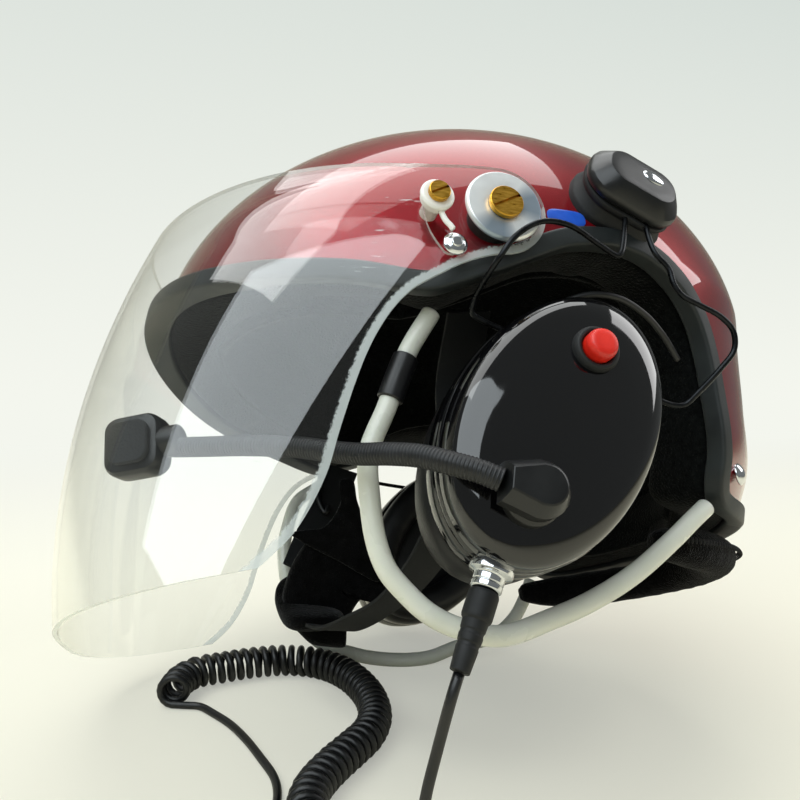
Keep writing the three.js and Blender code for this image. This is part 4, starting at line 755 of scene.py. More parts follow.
modified(pad, "SOLIDIFY", thickness=lining["thick"], offset=1)
settle(pad)
rollShape = rimSweep(smoothRoute([(a, b, 0) for a, b in lining["roll"]], lining["rollSteps"], closed=True)[:, :2])
roll = build("lining_roll", *rollShape, liningFinish, sharp=0)
joined = bmesh.new()
joined.from_mesh(pad.data)
joined.from_mesh(roll.data)
joined.to_mesh(pad.data)
joined.free()
bpy.data.objects.remove(roll)
pad.data.shade_smooth()
stand(pad, "comfort_lining")
for slot in frame["nodes"]["impact_liner"].material_slots:
    slot.material = foamFinish
print("shell ready")

# visor
visor = {
    "sheet": 1.6, "bulge": 13.7, "tail": 30.0, "lobeTop": 80.0, "lobe": (-20.5, 57.3), "lobeRadius": 17.7,
    "bottom": {"back": -103.3, "depth": 79.8, "halfWidth": 119.6, "power": 2.95, "height": -66.9, "slope": 0.09},
    "top": {"back": -15.4, "depth": 132.7, "halfWidth": 135.5, "power": 1.74, "height": 69.4, "slope": -0.29},
    "rear": [(-125, -110), (-125, -75), (-113, -66), (-105, -59), (-101, -54), (-96, -46), (-92, -38), (-88.5, -28),
             (-85.5, -20), (-81.5, -10), (-77, 0), (-72, 9), (-65, 18.5), (-58, 25), (-52, 28.5), (-46, 31.5),
             (-40, 34.5), (-32, 37.4), (-26, 39)],
    "over": [(-30, 76), (-48, 78.6), (-62, 84.5), (-62, 140), (-220, 140)],
    "pivot": (-21.3, 56.8), "bush": (-46.8, 59.8), "slotHalf": 3.7, "slotPlay": 0.9, "travel": 40.0, "boltHole": 3.6,
    "rows": 96, "columns": 220, "tailSteps": 14, "rim": 0.4, "lobeFrom": 0.8, "nose": 0.5,
    "scuffBehind": 18, "scuffReach": 30, "scuffMost": 1.6,
}


def visorGrid(s):
    v = np.linspace(0, 1, s["rows"] + 1)[:, None]
    u = np.linspace(0, 1, s["columns"] + 1)[None, :]
    mix = {key: s["bottom"][key] + (s["top"][key] - s["bottom"][key]) * v for key in s["bottom"]}
    turn = math.pi * (u - 0.5)
    ahead = np.clip(np.cos(turn), 0, 1)
    x = mix["back"] - mix["depth"] * ahead ** (2 / mix["power"])
    y = mix["halfWidth"] * np.sign(np.sin(turn)) * np.abs(np.sin(turn)) ** (2 / mix["power"])
    z = mix["height"] + mix["slope"] * (x - mix["back"])
    z = np.where(v >= 1, np.maximum(z, s["lobeTop"]), z)
    rise = np.clip((v - s["lobeFrom"]) / (1 - s["lobeFrom"]), 0, 1) ** 2 * (v < 1)
    z = z + rise * np.clip(s["lobeTop"] - z, 0, None)
    x = x - (s["bulge"] - s["rim"]) * 4 * v * (1 - v) * ahead + s["nose"] * ahead
    grid = np.stack([x, y, z], -1)
    behind = np.linspace(1, 0, s["tailSteps"])[:-1, None] * [s["tail"], 0, 0]  # straight back from the sheet's ends
    return np.concatenate([grid[:, :1] + behind, grid, (grid[:, -1:] + behind)[:, ::-1]], 1)


def insideOutline(x, z, outline):  # signed distance to a closed side-view outline, positive inside
    best, inside = np.full(x.shape, 1e9), np.zeros(x.shape, bool)
    for (ax, az), (bx, bz) in zip(outline, np.roll(outline, -1, 0)):
        dx, dz = bx - ax, bz - az
        share = np.clip(((x - ax) * dx + (z - az) * dz) / max(1e-9, dx * dx + dz * dz), 0, 1)
        best = np.minimum(best, np.hypot(x - ax - dx * share, z - az - dz * share))
        inside ^= ((az > z) != (bz > z)) & (x < dx * (z - az) / (dz if abs(dz) > 1e-9 else 1e-9) + ax)
    return np.where(inside, best, -best)


def arcSlot(s):  # the guide slot round the pivot
    arm = np.array(s["bush"]) - np.array(s["pivot"])
    reach = np.linalg.norm(arm)
    play = s["slotPlay"] / reach
    return reach, math.atan2(arm[1], arm[0]) - play, math.radians(s["travel"]) + 2 * play


def visorField(s, x, z):  # positive on the sheet, and the distance from its rear edge
    lobe = [(s["lobe"][0] + s["lobeRadius"] * math.cos(t), s["lobe"][1] + s["lobeRadius"] * math.sin(t))
            for t in np.linspace(-math.pi / 2, math.pi / 2, 40)]
    rear = smoothRoute([(a, b, 0) for a, b in s["rear"][1:]], 90)[:, :2]
    over = smoothRoute([(-22, 75.2, 0)] + [(a, b, 0) for a, b in s["over"][:3]], 24)[:, :2]
    outline = np.vstack([s["rear"][:1], rear, lobe, over, s["over"][3:], [(-220, -110)]])
    field = insideOutline(x, z, outline)
    dx, dz = x - s["pivot"][0], z - s["pivot"][1]
    field = np.minimum(field, np.hypot(dx, dz) - s["boltHole"])
    reach, start, sweep = arcSlot(s)
    turn = np.mod(np.arctan2(dz, dx) - start, 2 * math.pi)
    held = np.where(turn > sweep / 2 + math.pi, 0, np.minimum(turn, sweep)) + start
    gap = np.hypot(dx - reach * np.cos(held), dz - reach * np.sin(held)) - s["slotHalf"]
    rearGap = np.abs(lineDistance(x, z, np.vstack([rear, lobe[:20]])))
    return np.minimum(field, gap), rearGap


grid = visorGrid(visor)
flat = grid.reshape(-1, 3)
sheetShape = clipped(flat, wallFaces(*grid.shape[:2], closedRing=False), visorField(visor, flat[:, 0], flat[:, 2])[0])
screen = build("visor_sheet", *sheetShape, [visorClear, visorEdge], sharp=0, merge=0.05)
outwardArea = sum((f.normal.y * f.center.y > 0) * f.area for f in screen.data.polygons)
if outwardArea < 0.5 * sum(f.area for f in screen.data.polygons):
    screen.data.flip_normals()
modified(screen, "SOLIDIFY", thickness=visor["sheet"] * 0.001, offset=-1, material_offset_rim=1)
settle(screen)
screen.data.set_sharp_from_angle(angle=math.radians(50))
spots = np.array([v.co[:] for v in screen.data.vertices]) * 1000 - np.array(helmetPlace["origin"])
sideX, sideZ = spots[:, 0], spots[:, 1] * leanSin + spots[:, 2] * leanCos
toBush = np.hypot(sideX - visor["bush"][0] + visor["scuffBehind"], sideZ - visor["bush"][1])
rearGap = visorField(visor, sideX, sideZ)[1] * 0.001
for name, values in (("edge", rearGap), ("scuffed", np.clip(visor["scuffMost"] - toBush / visor["scuffReach"], 0, 1))):
    screen.data.attributes.new(name, "FLOAT", "POINT").data.foreach_set("value", values.astype(np.float32))
stand(screen, "visor")
print("visor ready")

# fittings of the visor, each once on the left and mirrored on the right
def both(name, shape, material, slot):
    for side, made in (("left", shape), ("right", mirrored(shape))):
        fitted(f"{name}_{side}", made, material, slot)


def onSide(shape, place):  # a turned shape stands out to the left at a side-view place
    return seated(shape[0], (place[0], 0, place[1]), (0, -1, 0)), shape[1]


fittings = {"pivot": (-21.3, 56.8), "bush": (-46.8, 59.8), "stud": (-41.2, 41.7)}
washer = lathe([(3.3, 119), (10.4, 119), (10.4, 130.3), (3.3, 130.3), (3.3, 119)], 0.5)
both("pivot_washer", onSide(washer, fittings["pivot"]), gasketFinish, "trim_rubber")
disc = lathe([(3.3, 135.8), (15, 135.8), (15, 136.7), (14.2, 137.8), (3.3, 137.8), (3.3, 135.8)], 0.25, 96)
# the pivot discs' silver carries the painted reflection sectors
spun = spunWithPaintedReflection(onHelmet([fittings["pivot"][0], -137.8, fittings["pivot"][1]]))
both("pivot_disc", onSide(disc, fittings["pivot"]), spun, "bright_steel")

screwHead = {"steps": 64, "chamfer": 0.35, "slotDepth": 0.45, "turn": 25.0}


def slottedHead(radius, thick, back, shankRadius, shankEnd, slotWide):  # screw head with its driver slot
    steps, chamfer = screwHead["steps"], screwHead["chamfer"]
    ring = circle(steps)
    flatRadius, half, top = radius - chamfer, slotWide / 2, back + thick
    body = lathe([(0, shankEnd), (shankRadius, shankEnd), (shankRadius, back), (radius, back), (radius, top - chamfer),
                  (flatRadius, top - 0.05)], 0.1, steps)
    points, faces = body[0].tolist(), list(body[1])
    rimStart = len(points) - steps
    a = math.radians(screwHead["turn"])
    reach = math.sqrt(flatRadius ** 2 - half ** 2)
    floor = []
    for sign in (1, -1):  # two flats either side of the slot, walls and floor
        span = [k for k in range(steps) if sign * (flatRadius * math.sin(ring[k] - a)) > half]
        span.sort(key=lambda k: (ring[k] - a - (0 if sign > 0 else math.pi)) % (2 * math.pi))
        start = len(points)
        for level in (top, top - thick * screwHead["slotDepth"]):
            for ex, ey in ((sign * reach, sign * half), (-sign * reach, sign * half)):
                points.append([ex * math.cos(a) - ey * math.sin(a), ex * math.sin(a) + ey * math.cos(a), level])
        faces.append([start] + [rimStart + k for k in span] + [start + 1])
        faces.append([start + 1, start, start + 2, start + 3][::sign])
        floor += [start + 2, start + 3]
    faces.append(floor)
    return np.array(points), faces


def screw(place, *sizes):
    return onSide(slottedHead(*sizes), fittings[place])


both("pivot_screw", screw("pivot", 6.6, 2.2, 138.1, 3.0, 124, 1.2), brassFinish, "brass")
bush = lathe([(1.8, 124), (3.4, 124), (3.4, 132.9), (5.8, 132.9), (5.8, 135.2), (6.5, 135.6), (6.5, 136.7),
              (5.7, 137.5), (1.8, 137.5), (1.8, 124)], 0.4)
tether = tubeShape(smoothRoute([(-45.6, -134.4, 55.5), (-45.2, -134.6, 52.6), (-44.3, -134.8, 50), (-42.7, -134.7, 48),
                                (-42, -134.6, 46.9)], 24), 1.1, 12, 0.4)
both("guide_bush", together(onSide(bush, fittings["bush"]), tether), nylonFinish, "white_nylon")
both("bush_screw", screw("bush", 4.1, 2.2, 137.8, 1.5, 124, 0.9), brassFinish, "brass")
pin = lathe([(0, 132.6), (4.6, 132.6), (4.6, 133.3), (3.4, 134.3), (2.1, 134.7), (1.9, 135.2), (0, 135.2)], 0.3)
both("lock_pin", onSide(pin, fittings["stud"]), steelFinish, "bright_steel")

rivet = {"x": 93.5, "z": -34.6}
rivetY = -float(shellY(np.array(rivet["x"]), np.array(rivet["z"])))
rivetScale = float(scaleAt(rivet["z"]))
rivetOut = unit(np.array([(rivet["x"] - shell["back"]) / (shell["halfLength"] * rivetScale) ** 2,
                          rivetY / (shell["halfWidth"] * rivetScale) ** 2, 0]))
rivetShape = lathe([(0, 0.2), (5, 0.2), (5, 1.2), (3.75, 2.6), (1.75, 3.4), (0, 3.6)], 1.2, 32, 5)
rivetPoints = seated(rivetShape[0], (rivet["x"], rivetY, rivet["z"]), rivetOut)
both("rear_rivet", (rivetPoints, rivetShape[1]), steelFinish, "bright_steel")

patch = {"x": 9.0, "z": 59.2, "half": (8.3, 3.75), "turn": 3.0, "thick": 0.35, "out": 0.32}
patchTurn = circle(72)
patchCos, patchSin, patchLean = np.cos(patchTurn), np.sin(patchTurn), math.radians(patch["turn"])
patchRings = [(share, patch["thick"]) for share in (0, 0.35, 0.7, 0.97)] + [(1, patch["thick"] - 0.08), (1, 0)]
patchPoints = []
for share, lift in patchRings:
    a = share * patch["half"][0] * np.sign(patchCos) * np.abs(patchCos) ** 0.45
    b = share * patch["half"][1] * np.sign(patchSin) * np.abs(patchSin) ** 0.75
    x = patch["x"] + a * math.cos(patchLean) + b * math.sin(patchLean)
    z = patch["z"] - a * math.sin(patchLean) + b * math.cos(patchLean)
    patchPoints.append(np.stack([x, -shellY(x, z) - patch["out"] - lift, z], -1))
patchShape = (np.vstack(patchPoints), wallFaces(len(patchRings), len(patchTurn)))
fitted("size_sticker", patchShape, sticker, "sticker_blue", name="size_label")
print("fittings ready")

# headset: cups, cushions, speakers, yokes and clamps
headset = {
    "left": {"cupX": -12.9, "cupZ": -28.6, "lean": 25.0, "cupLean": 36.3, "shorter": 0.0, "hand": -1},
    "right": {"cupX": 16.6, "cupZ": -22.1, "lean": 11.3, "cupLean": 45.0, "shorter": 20.0, "hand": 1},
    "rise": 2.8, "halfWidth": 37.6, "halfHeight": 54.8, "tiltHeight": 37.5, "tiltOut": 116, "wire": 1.1,
    "bowFrom": 68, "bowTall": 38.0,
    "cover": [(0, 0, 140.4), (13, 20, 139.7), (24, 37.5, 138), (31, 48.6, 135.8), (34.7, 54.2, 132.6),
              (36.4, 54.9, 127.6), (36.8, 54.6, 122.5), (34.6, 52, 122.3)],
    "body": [(34.4, 51.4, 121.9), (37.2, 54.3, 121.9), (37.6, 54.8, 120.8), (37.6, 54.8, 119.2), (37.2, 54.4, 118.7),
             (37.2, 54.4, 118.2), (37.6, 54.8, 117.7), (37.6, 54.8, 110.5), (36.4, 53.7, 106.2), (34.6, 52, 104.1),
             (0, 0, 104)],
}


def leaned(points, side, lean, rise=0.0):  # along, up and out of a leaning frame, to helmet millimetres
    s, p = headset[side], np.asarray(points, float)
    c, k = math.cos(math.radians(lean)), math.sin(math.radians(lean))
    x = s["cupX"] + rise * k + p[:, 0] * c + p[:, 1] * k
    z = s["cupZ"] + rise * c - p[:, 0] * k + p[:, 1] * c
    return np.stack([x, p[:, 2] * s["hand"], z], -1)


def cupPlace(shape, side):
    return leaned(shape[0], side, headset[side]["cupLean"], headset["rise"]), shape[1]


def ovalShape(profile, slices=96):
    turn = circle(slices)
    points = [np.stack([a * np.cos(turn), b * np.sin(turn), np.full(slices, out)], -1) for a, b, out in profile]
    return np.vstack(points), wallFaces(len(profile), slices)


coverProfile = [tuple(p) for p in smoothRoute(headset["cover"][:6], 34)] + headset["cover"][6:]
coverProfile[0] = (0.001, 0.001, coverProfile[0][2])
speaker = lathe([(0, 107.8), (18, 107.8), (18, 110), (8, 114), (0, 114)], 0.6, 40)
for side in ("left", "right"):
    fitted(f"cup_cover_{side}", cupPlace(ovalShape(coverProfile), side), gloss, "black_gloss", sharp=50)
    fitted(f"cup_body_{side}", cupPlace(ovalShape(headset["body"]), side), gloss, "black_gloss", sharp=40)
    fitted(f"speaker_{side}", cupPlace(speaker, side), satinFinish, "black_satin")

yokeWire = [(-34, 37.5, 116), (-38.4, 38.2, 116.8), (-39.9, 41.5, 120.5), (-39.9, 47, 130), (-38.9, 52.4, 136.6),
            (-36.5, 61, 139.6), (-28.6, 72.2, 139.8), (-17.9, 76.2, 139.4), (-5, 76, 137), (4, 75.6, 136),
            (5.1, 78, 136), (3.4, 98, 134.6), (3, 102.6, 134), (3.6, 105.4, 134), (5, 106, 134), (8, 106, 134),
            (11, 106, 134),
            (12.4, 105.4, 134), (12.8, 102.6, 134), (12.4, 98, 134.6), (18.3, 84.8, 136), (25, 80.6, 136),
            (29, 74.6, 135.6), (33, 71.8, 135.5), (40.6, 71.2, 135.4), (50.5, 70.6, 135), (57.3, 68.1, 133.5),
            (60.4, 62.1, 131), (58.2, 54, 127.5), (54.6, 44.4, 120.5), (52, 39.4, 117), (47.5, 37.5, 116)]


def cupSides(side):  # where the tilt pins meet the cup's wall
    relative = math.radians(headset[side]["cupLean"] - headset[side]["lean"])
    c, s = math.cos(relative), math.sin(relative)
    a, b, up = headset["halfWidth"], headset["halfHeight"], headset["tiltHeight"] - headset["rise"] * c
    two = c * c / a ** 2 + s * s / b ** 2
    one = 2 * up * s * c * (1 / b ** 2 - 1 / a ** 2)
    none = up ** 2 * (s * s / a ** 2 + c * c / b ** 2) - 1
    root = math.sqrt(one ** 2 - 4 * two * none)
    return [headset["rise"] * s + (-one + sign * root) / (2 * two) for sign in (-1, 1)]


for side in ("left", "right"):
    squeeze = 1 - headset[side]["shorter"] / headset["bowTall"]
    near, far = cupSides(side)
    pins = [(inset, headset["tiltHeight"], headset["tiltOut"]) for inset in (near + 3, far - 3)]
    places = [(a, headset["bowFrom"] + (b - headset["bowFrom"]) * squeeze if b > headset["bowFrom"] else b, c)
              for a, b, c in pins[:1] + yokeWire + pins[1:]]
    wire = tubeShape(leaned(smoothRoute(places, 360), side, headset[side]["lean"]), headset["wire"], 14)
    fitted(f"yoke_{side}", wire, wireFinish, "wire_steel", name=f"yoke_{side}_wire", sharp=0)

cushion = {"width": 27.0, "height": 46.0, "out": 93.9, "half": 8.7, "rise": 9.4, "pleats": 34, "pleatDepth": 0.03,
           "squared": 0.86, "webInset": 6, "seed": {"left": 5, "right": 7}}
turn = circle(160)
around = circle(40)
section = np.stack([np.cos(around), np.sin(around)], -1)
section = np.sign(section) * np.abs(section) ** cushion["squared"]
inner = np.clip(-section[:, 0], 0, 1) * 0.5 + np.clip(section[:, 1], 0, 1) * 0.5
web = turnedShape([(0, 103.5), (1, 103.5), (1, 99.8), (0, 99.8)], 96)
webSize = [cushion["width"] - cushion["webInset"], cushion["height"] - cushion["webInset"], 1]
web = (web[0] * webSize, web[1])
for side in ("left", "right"):
    waver = np.random.default_rng(cushion["seed"][side]).normal(0, 0.4, len(turn)).cumsum() * 0.15
    gather = cushion["pleatDepth"] * np.sin(turn * cushion["pleats"] + waver)
    reach = section[None, :, 0] * cushion["half"] * (1 + gather[:, None] * inner[None])
    a = (cushion["width"] + reach) * np.cos(turn)[:, None]
    b = (cushion["height"] + reach) * np.sin(turn)[:, None]
    out = np.broadcast_to(cushion["out"] - section[:, 1] * cushion["rise"], a.shape)
    ring = (np.stack([a, b, out], -1).reshape(-1, 3), wallFaces(len(turn), len(around), closed=True))
    softShape = together(cupPlace(ring, side), cupPlace(web, side))
    soft = build(f"cup_cushion_{side}_piece", *softShape, leatherFinish, sharp=0)
    modified(soft, "SUBSURF", levels=1, render_levels=1)
    stand(settle(soft), f"cup_cushion_{side}")

clamp = {"place": (35.0, -124.0, 68.0), "out": (0.187, -0.965, 0.18), "length": 41.0, "height": 31.0, "base": 9.0,
         "cover": 9.5, "oval": (4.5, 2.5), "gap": 0.3}


def roundedLoop(length, height, corner, count=72):  # points round a rounded rectangle, from +X turning left
    a, b = length / 2 - corner, height / 2 - corner
    made = []
    for cx, cy, start in ((a, b, 0), (-a, b, 90), (-a, -b, 180), (a, -b, 270)):
        for t in np.linspace(math.radians(start), math.radians(start + 90), count // 4 + 1):
            made.append((cx + corner * math.cos(t), cy + corner * math.sin(t)))
    return evenly(np.array(made + made[:1]), count, closed=True)


def stackedLoops(levels, count=72):  # levels are length, height, corner, out
    loops = [np.column_stack([roundedLoop(l, h, min(c, l / 2 - 0.01, h / 2 - 0.01), count), np.full(count, out)])
             for l, h, c, out in levels]
    return np.vstack(loops), wallFaces(len(levels), count, capped=True)


def clampPlace(shape, side):
    out = unit(np.array(clamp["out"]))
    lean = math.radians(headset[side]["lean"])
    run = np.array([math.cos(lean), 0, -math.sin(lean)])
    run = unit(run - out * run.dot(out))
    p = np.asarray(shape[0], float)
    made = np.array(clamp["place"]) + p[:, :1] * run + p[:, 1:2] * np.cross(out, run) + p[:, 2:] * out
    return made * [1, -headset[side]["hand"], 1], shape[1]


l, h, b = clamp["length"], clamp["height"], clamp["base"] + clamp["gap"]
baseLevels = [(l + 1, h + 1, 14, -3), (l + 1, h + 1, 14, 0.8), (l + 0.4, h + 0.4, 14, 1.6), (l - 1.6, h - 1.6, 13, 3.2),
              (l - 2.6, h - 2.6, 13, 5.6), (l - 1.2, h - 1.2, 13, 6.6), (l - 0.6, h - 0.6, 13, 7.6),
              (l - 1, h - 1, 13, 8.7), (l - 2, h - 2, 12.6, 9)]
coverLevels = [(l - 2, h - 4, 11, b), (l - 0.6, h - 2.6, 12, b + 0.5), (l, h - 2, 12.4, b + 1.3),
               (l, h - 2, 12.4, b + 3.0), (l - 1.2, h - 3.2, 11.6, b + 4.4), (l - 9, h - 10.5, 9, b + 8.5),
               (l - 11, h - 12.4, 8, b + 9.3), (l - 13, h - 14, 7, b + 9.5), (l - 20, h - 20, 5, b + 9.5)]
oval = lathe([(0, 0), (4.3, 0), (4.3, 2.4), (3.4, 3.5), (0, 4.0)], 0.9, 40, 5)
oval = (oval[0] * [1.25, 0.85, 1] + [*clamp["oval"], b + clamp["cover"] - 2.8], oval[1])
for side in ("left", "right"):
    fitted(f"clamp_base_{side}", clampPlace(stackedLoops(baseLevels), side), gasketFinish, "black_satin", sharp=42)
    fitted(f"clamp_cover_{side}", clampPlace(stackedLoops(coverLevels), side), satinFinish, "black_satin", sharp=24)
    fitted(f"clamp_screw_{side}", clampPlace(oval, side), steelFinish, "bright_steel")
print("headset ready")

# push button, microphone boom and cable outlet
buttonSpot, boomSpot = (2.4, -3.0), (-31.0, -54.0)
bezel = lathe([(0, 131), (8.75, 131), (8.75, 140.8), (7.9, 142.4), (6.9, 142.5), (6.1, 141.7), (6.1, 132.5),
               (0, 132.5)], 0.7, 56)
button = lathe([(0, 134.5), (5.8, 134.5), (5.8, 145.2), (4.9, 146.9), (3.4, 147.3), (0, 147.3)], 0.8, 48, 4)
boomBase = lathe([(0, 130), (10.2, 130), (10.2, 140.4), (8.4, 142), (0, 142)], 0.6)
fitted("ptt_bezel", onSide(bezel, buttonSpot), gasketFinish, "black_satin")
fitted("ptt_button", onSide(button, buttonSpot), buttonFinish, "button_red")
fitted("boom_base", onSide(boomBase, boomSpot), satinFinish, "black_satin")

boom = {"coreRadius": 3.65, "ribRadius": 3.48, "ribPitch": 0.00125, "ribThick": 0.00046, "route": [
    (-44.5, 147.2, -50.6), (-49.9, 145.8, -47.4), (-57.6, 141.0, -43.0), (-64.7, 134.0, -38.3), (-72.3, 125.5, -34.7),
    (-80.0, 115.5, -31.4), (-87.8, 105.0, -26.8), (-96.3, 96.0, -22.3), (-112.0, 82.0, -16.7), (-129.2, 67.0, -11.8),
    (-138.1, 59.0, -9.2)]}
boomLine = smoothRoute([(x, -o, z) for x, o, z in boom["route"]], 200)
neckTube = tubeShape(boomLine, boom["coreRadius"], 24)
fitted("boom_gooseneck", neckTube, boomFinish, "black_satin", name="gooseneck_core", sharp=0)
ribs = repeatAlong("gooseneck_ribs", boomLine, {
    "Pitch": boom["ribPitch"], "Ring Radius": boom["ribRadius"] * 0.001, "Thickness": boom["ribThick"]}, boomFinish)
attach(ribs, "boom")

aim = math.atan2(boom["route"][0][2] - boomSpot[1], -(boom["route"][0][0] - boomSpot[0]))
knuckle = {"round": 9.5, "reach": 13.0, "mouth": 13.0, "back": 142.3, "waist": -1.5, "opening": 0.15}


def knuckleLoop(grow, count=28):  # outline of the angular block, in its own plane
    r, m, reach = knuckle["round"] + grow, knuckle["mouth"] / 2 + grow, knuckle["reach"] + grow * 0.5
    half = math.pi / 2 - knuckle["opening"]
    made = [(-reach, -m), (knuckle["waist"], -r)]
    made += [(r * math.cos(t), r * math.sin(t)) for t in np.linspace(-half, half, count)]
    return np.array(made + [(knuckle["waist"], r), (-reach, m)])


levels = [(-0.6, 0), (0, 0.7), (0, 5.0), (-1.9, 8.6), (-2.8, 9.7), (-3.4, 10)]
points = np.vstack([np.insert(knuckleLoop(grow), 2, out, axis=1) for grow, out in levels])
turned = np.stack([points[:, 0] * math.cos(aim) + points[:, 1] * math.sin(aim), -(knuckle["back"] + points[:, 2]),
                   -points[:, 0] * math.sin(aim) + points[:, 1] * math.cos(aim)], -1) + [boomSpot[0], 0, boomSpot[1]]
knuckleShape = (turned, wallFaces(len(levels), len(points) // len(levels), capped=True))
fitted("boom_knuckle", knuckleShape, satinFinish, "black_satin", sharp=20)

mic = {"place": (-151.9, -52.0, -6.6), "turn": -0.5}


def micPlace(points):  # x towards the boom, y out at the back, z up
    p = np.asarray(points, float)
    c, s = math.cos(mic["turn"]), math.sin(mic["turn"])
    return np.stack([p[:, 0] * c - p[:, 1] * s, p[:, 0] * s + p[:, 1] * c, p[:, 2]], -1) + np.array(mic["place"])


levels = [(19, 19, 4, -6.5), (21.6, 21.6, 5, -6.1), (23.4, 23.4, 6, -4.6), (24, 24, 6.4, -3), (24, 24, 6.4, 3),
          (23.4, 23.4, 6, 4.6), (21.6, 21.6, 5, 6.1), (19, 19, 4, 6.5), (16.4, 16.4, 4.4, 6.5), (16, 16, 4.2, 7.5),
          (15, 15, 3.8, 8.0)]
points, faces = stackedLoops(levels)
stem = lathe([(0, 8), (6.2, 8), (6.2, 17.5), (5.2, 18.5), (0, 18.5)], 0.8, 36)
stemPoints = seated(stem[0], (0, 0, 0), (1, 0, 0), (0, 1, 0))
housing = together((micPlace(points[:, [0, 2, 1]]), faces), (micPlace(stemPoints), stem[1]))
fitted("mic_housing", housing, satinFinish, "black_satin", sharp=30)
points, faces = stackedLoops([(17, 17, 5, 0), (17, 17, 5, 1.8), (16, 16, 4.6, 2.4), (15, 15, 4.4, 2.4)])
front = (micPlace(points[:, [0, 2, 1]] * [1, -1, 1] - [0, 6.8, 0]), faces)
fitted("mic_grille", front, foamFinish, "liner_foam", sharp=30)


def outletPlace(shape):
    return seated(shape[0], outletTop, outletDown), shape[1]


ferrule = lathe([(0, 0.3), (7.6, 0.3), (7.6, 2.6), (5.6, 3.4), (5.4, 3.9), (5.4, 5.6), (5.1, 5.8), (5.1, 6.1),
                 (5.4, 6.3), (5.4, 8), (4.6, 8.6), (0, 8.6)], 0.25)
relief = lathe([(0, 8.9), (4.8, 8.9), (5.2, 10), (5.2, 17.6), (4.9, 18.6), (4.4, 19), (4.2, 22), (3.9, 22.4),
                (3.9, 23.4), (4.1, 23.8), (3.9, 26), (3.6, 26.4), (3.6, 27.4), (3.8, 27.8), (3.3, 35.6), (0, 35.6)],
               0.4, 40)
fitted("connector_ferrule", outletPlace(ferrule), steelFinish, "bright_steel")
fitted("strain_relief", outletPlace(relief), gasketFinish, "cable_black")
print("boom and outlet ready")

# guard tubes, neck roll, straps
guard = {
    "radius": 3.8, "steps": 240, "sides": 28, "rounded": 0.4,
    "left": [(-43.6, -105.2, 27.8), (-54, -103, 12.5), (-64, -101, -9), (-72, -99, -26), (-73, -98, -43),
             (-72, -97, -57), (-69, -96, -67), (-63, -95, -75), (-55, -94.5, -83), (-45, -94, -88.5),
             (-30, -94, -92.5), (-8, -93, -88),
             (9, -92.5, -83), (29, -92, -74.5), (49.6, -91, -62.5), (63, -89.4, -54), (71, -88, -49.2)],
    "right": [(-44, 104.3, 28.8), (-49, 103, 19), (-65, 101, 8), (-72, 99, -7), (-75, 98, -19), (-75.5, 97, -33),
              (-72, 96, -54), (-60, 95, -73), (-41, 94, -82), (-20, 94, -87), (2, 93, -88), (19, 92, -84),
              (42, 88, -80), (56, 87.5, -71), (65, 88, -60), (70.6, 88, -50.4)],
}
for side in ("left", "right"):
    shape = tubeShape(smoothRoute(guard[side], guard["steps"]), guard["radius"], guard["sides"], guard["rounded"])
    fitted(f"guard_tube_{side}", shape, milky, "milky_tube", sharp=0)
sleeve = {"radius": 5.0, "steps": 30, "route": [(-55.2, -102.8, 9.9), (-59, -102, 2), (-62.6, -101.3, -6)]}
sleeveLine = smoothRoute(sleeve["route"], sleeve["steps"])
sleeveShape = tubeShape(sleeveLine, sleeve["radius"], guard["sides"], guard["rounded"])
fitted("tube_sleeve", sleeveShape, cableFinish, "cable_black")

neck = {"length": 119.0, "width": 79.0, "thick": 23.0, "tall": 20.5, "top": -51.4, "span": 65.0, "lift": 3.0,
        "endTaper": 0.82, "leastTaper": 0.02, "shrink": 0.93, "frames": 20, "pressure": 4.0, "voxel": 0.0045,
        "cap": 0.0035}
stitch = {"Pitch": 0.0024, "Ring Radius": 0.0012, "Thickness": 0.0003, "Flatness": 0.7, "Tilt": 0.5}


def neckRoll(s, steps=120, sides=40, shrink=1.0):
    rings = []
    around = circle(sides)
    for i in range(steps + 1):
        share = 2 * i / steps - 1
        turn = math.radians(s["span"]) * share
        taper = math.sqrt(max(s["leastTaper"], 1 - s["endTaper"] * share ** 8)) * shrink
        middle = np.array([shell["back"] + s["length"] * math.cos(turn), s["width"] * math.sin(turn),
                           s["top"] - s["tall"] / 2 + s["lift"] * share ** 6])
        out = unit(np.array([math.cos(turn) / s["length"], math.sin(turn) / s["width"], 0]))
        rings.append(middle + out * (s["thick"] / 2 * taper * np.cos(around))[:, None]
                     + upward * (s["tall"] / 2 * taper * np.sin(around))[:, None])
    return np.vstack(rings), wallFaces(steps + 1, sides, capped=True)


def swell(piece, s):  # cloth that swells and is held to a cap
    modified(piece, "REMESH", mode="VOXEL", voxel_size=s["voxel"])
    settle(piece)
    rest = np.array([v.co[:] for v in piece.data.vertices])
    cloth = modified(piece, "CLOTH")
    for key, value in {"use_pressure": True, "uniform_pressure_force": s["pressure"], "quality": 6,
                       "tension_stiffness": 20, "bending_stiffness": 0.6}.items():
        setattr(cloth.settings, key, value)
    cloth.settings.effector_weights.gravity = 0
    cloth.collision_settings.use_collision = False
    for f in range(1, s["frames"] + 1):
        scene.frame_set(f)
    graph = bpy.context.evaluated_depsgraph_get()
    shift = np.array([v.co[:] for v in piece.evaluated_get(graph).data.vertices]) - rest
    scene.frame_set(1)
    piece.modifiers.clear()
    far = np.linalg.norm(shift, axis=1, keepdims=True)
    rest = rest + shift * np.minimum(1, s["cap"] / np.maximum(far, 1e-9))
    piece.data.vertices.foreach_set("co", rest.astype(np.float32).ravel())
    modified(piece, "SUBSURF", levels=1, render_levels=1)
    settle(piece)
    piece.data.shade_smooth()


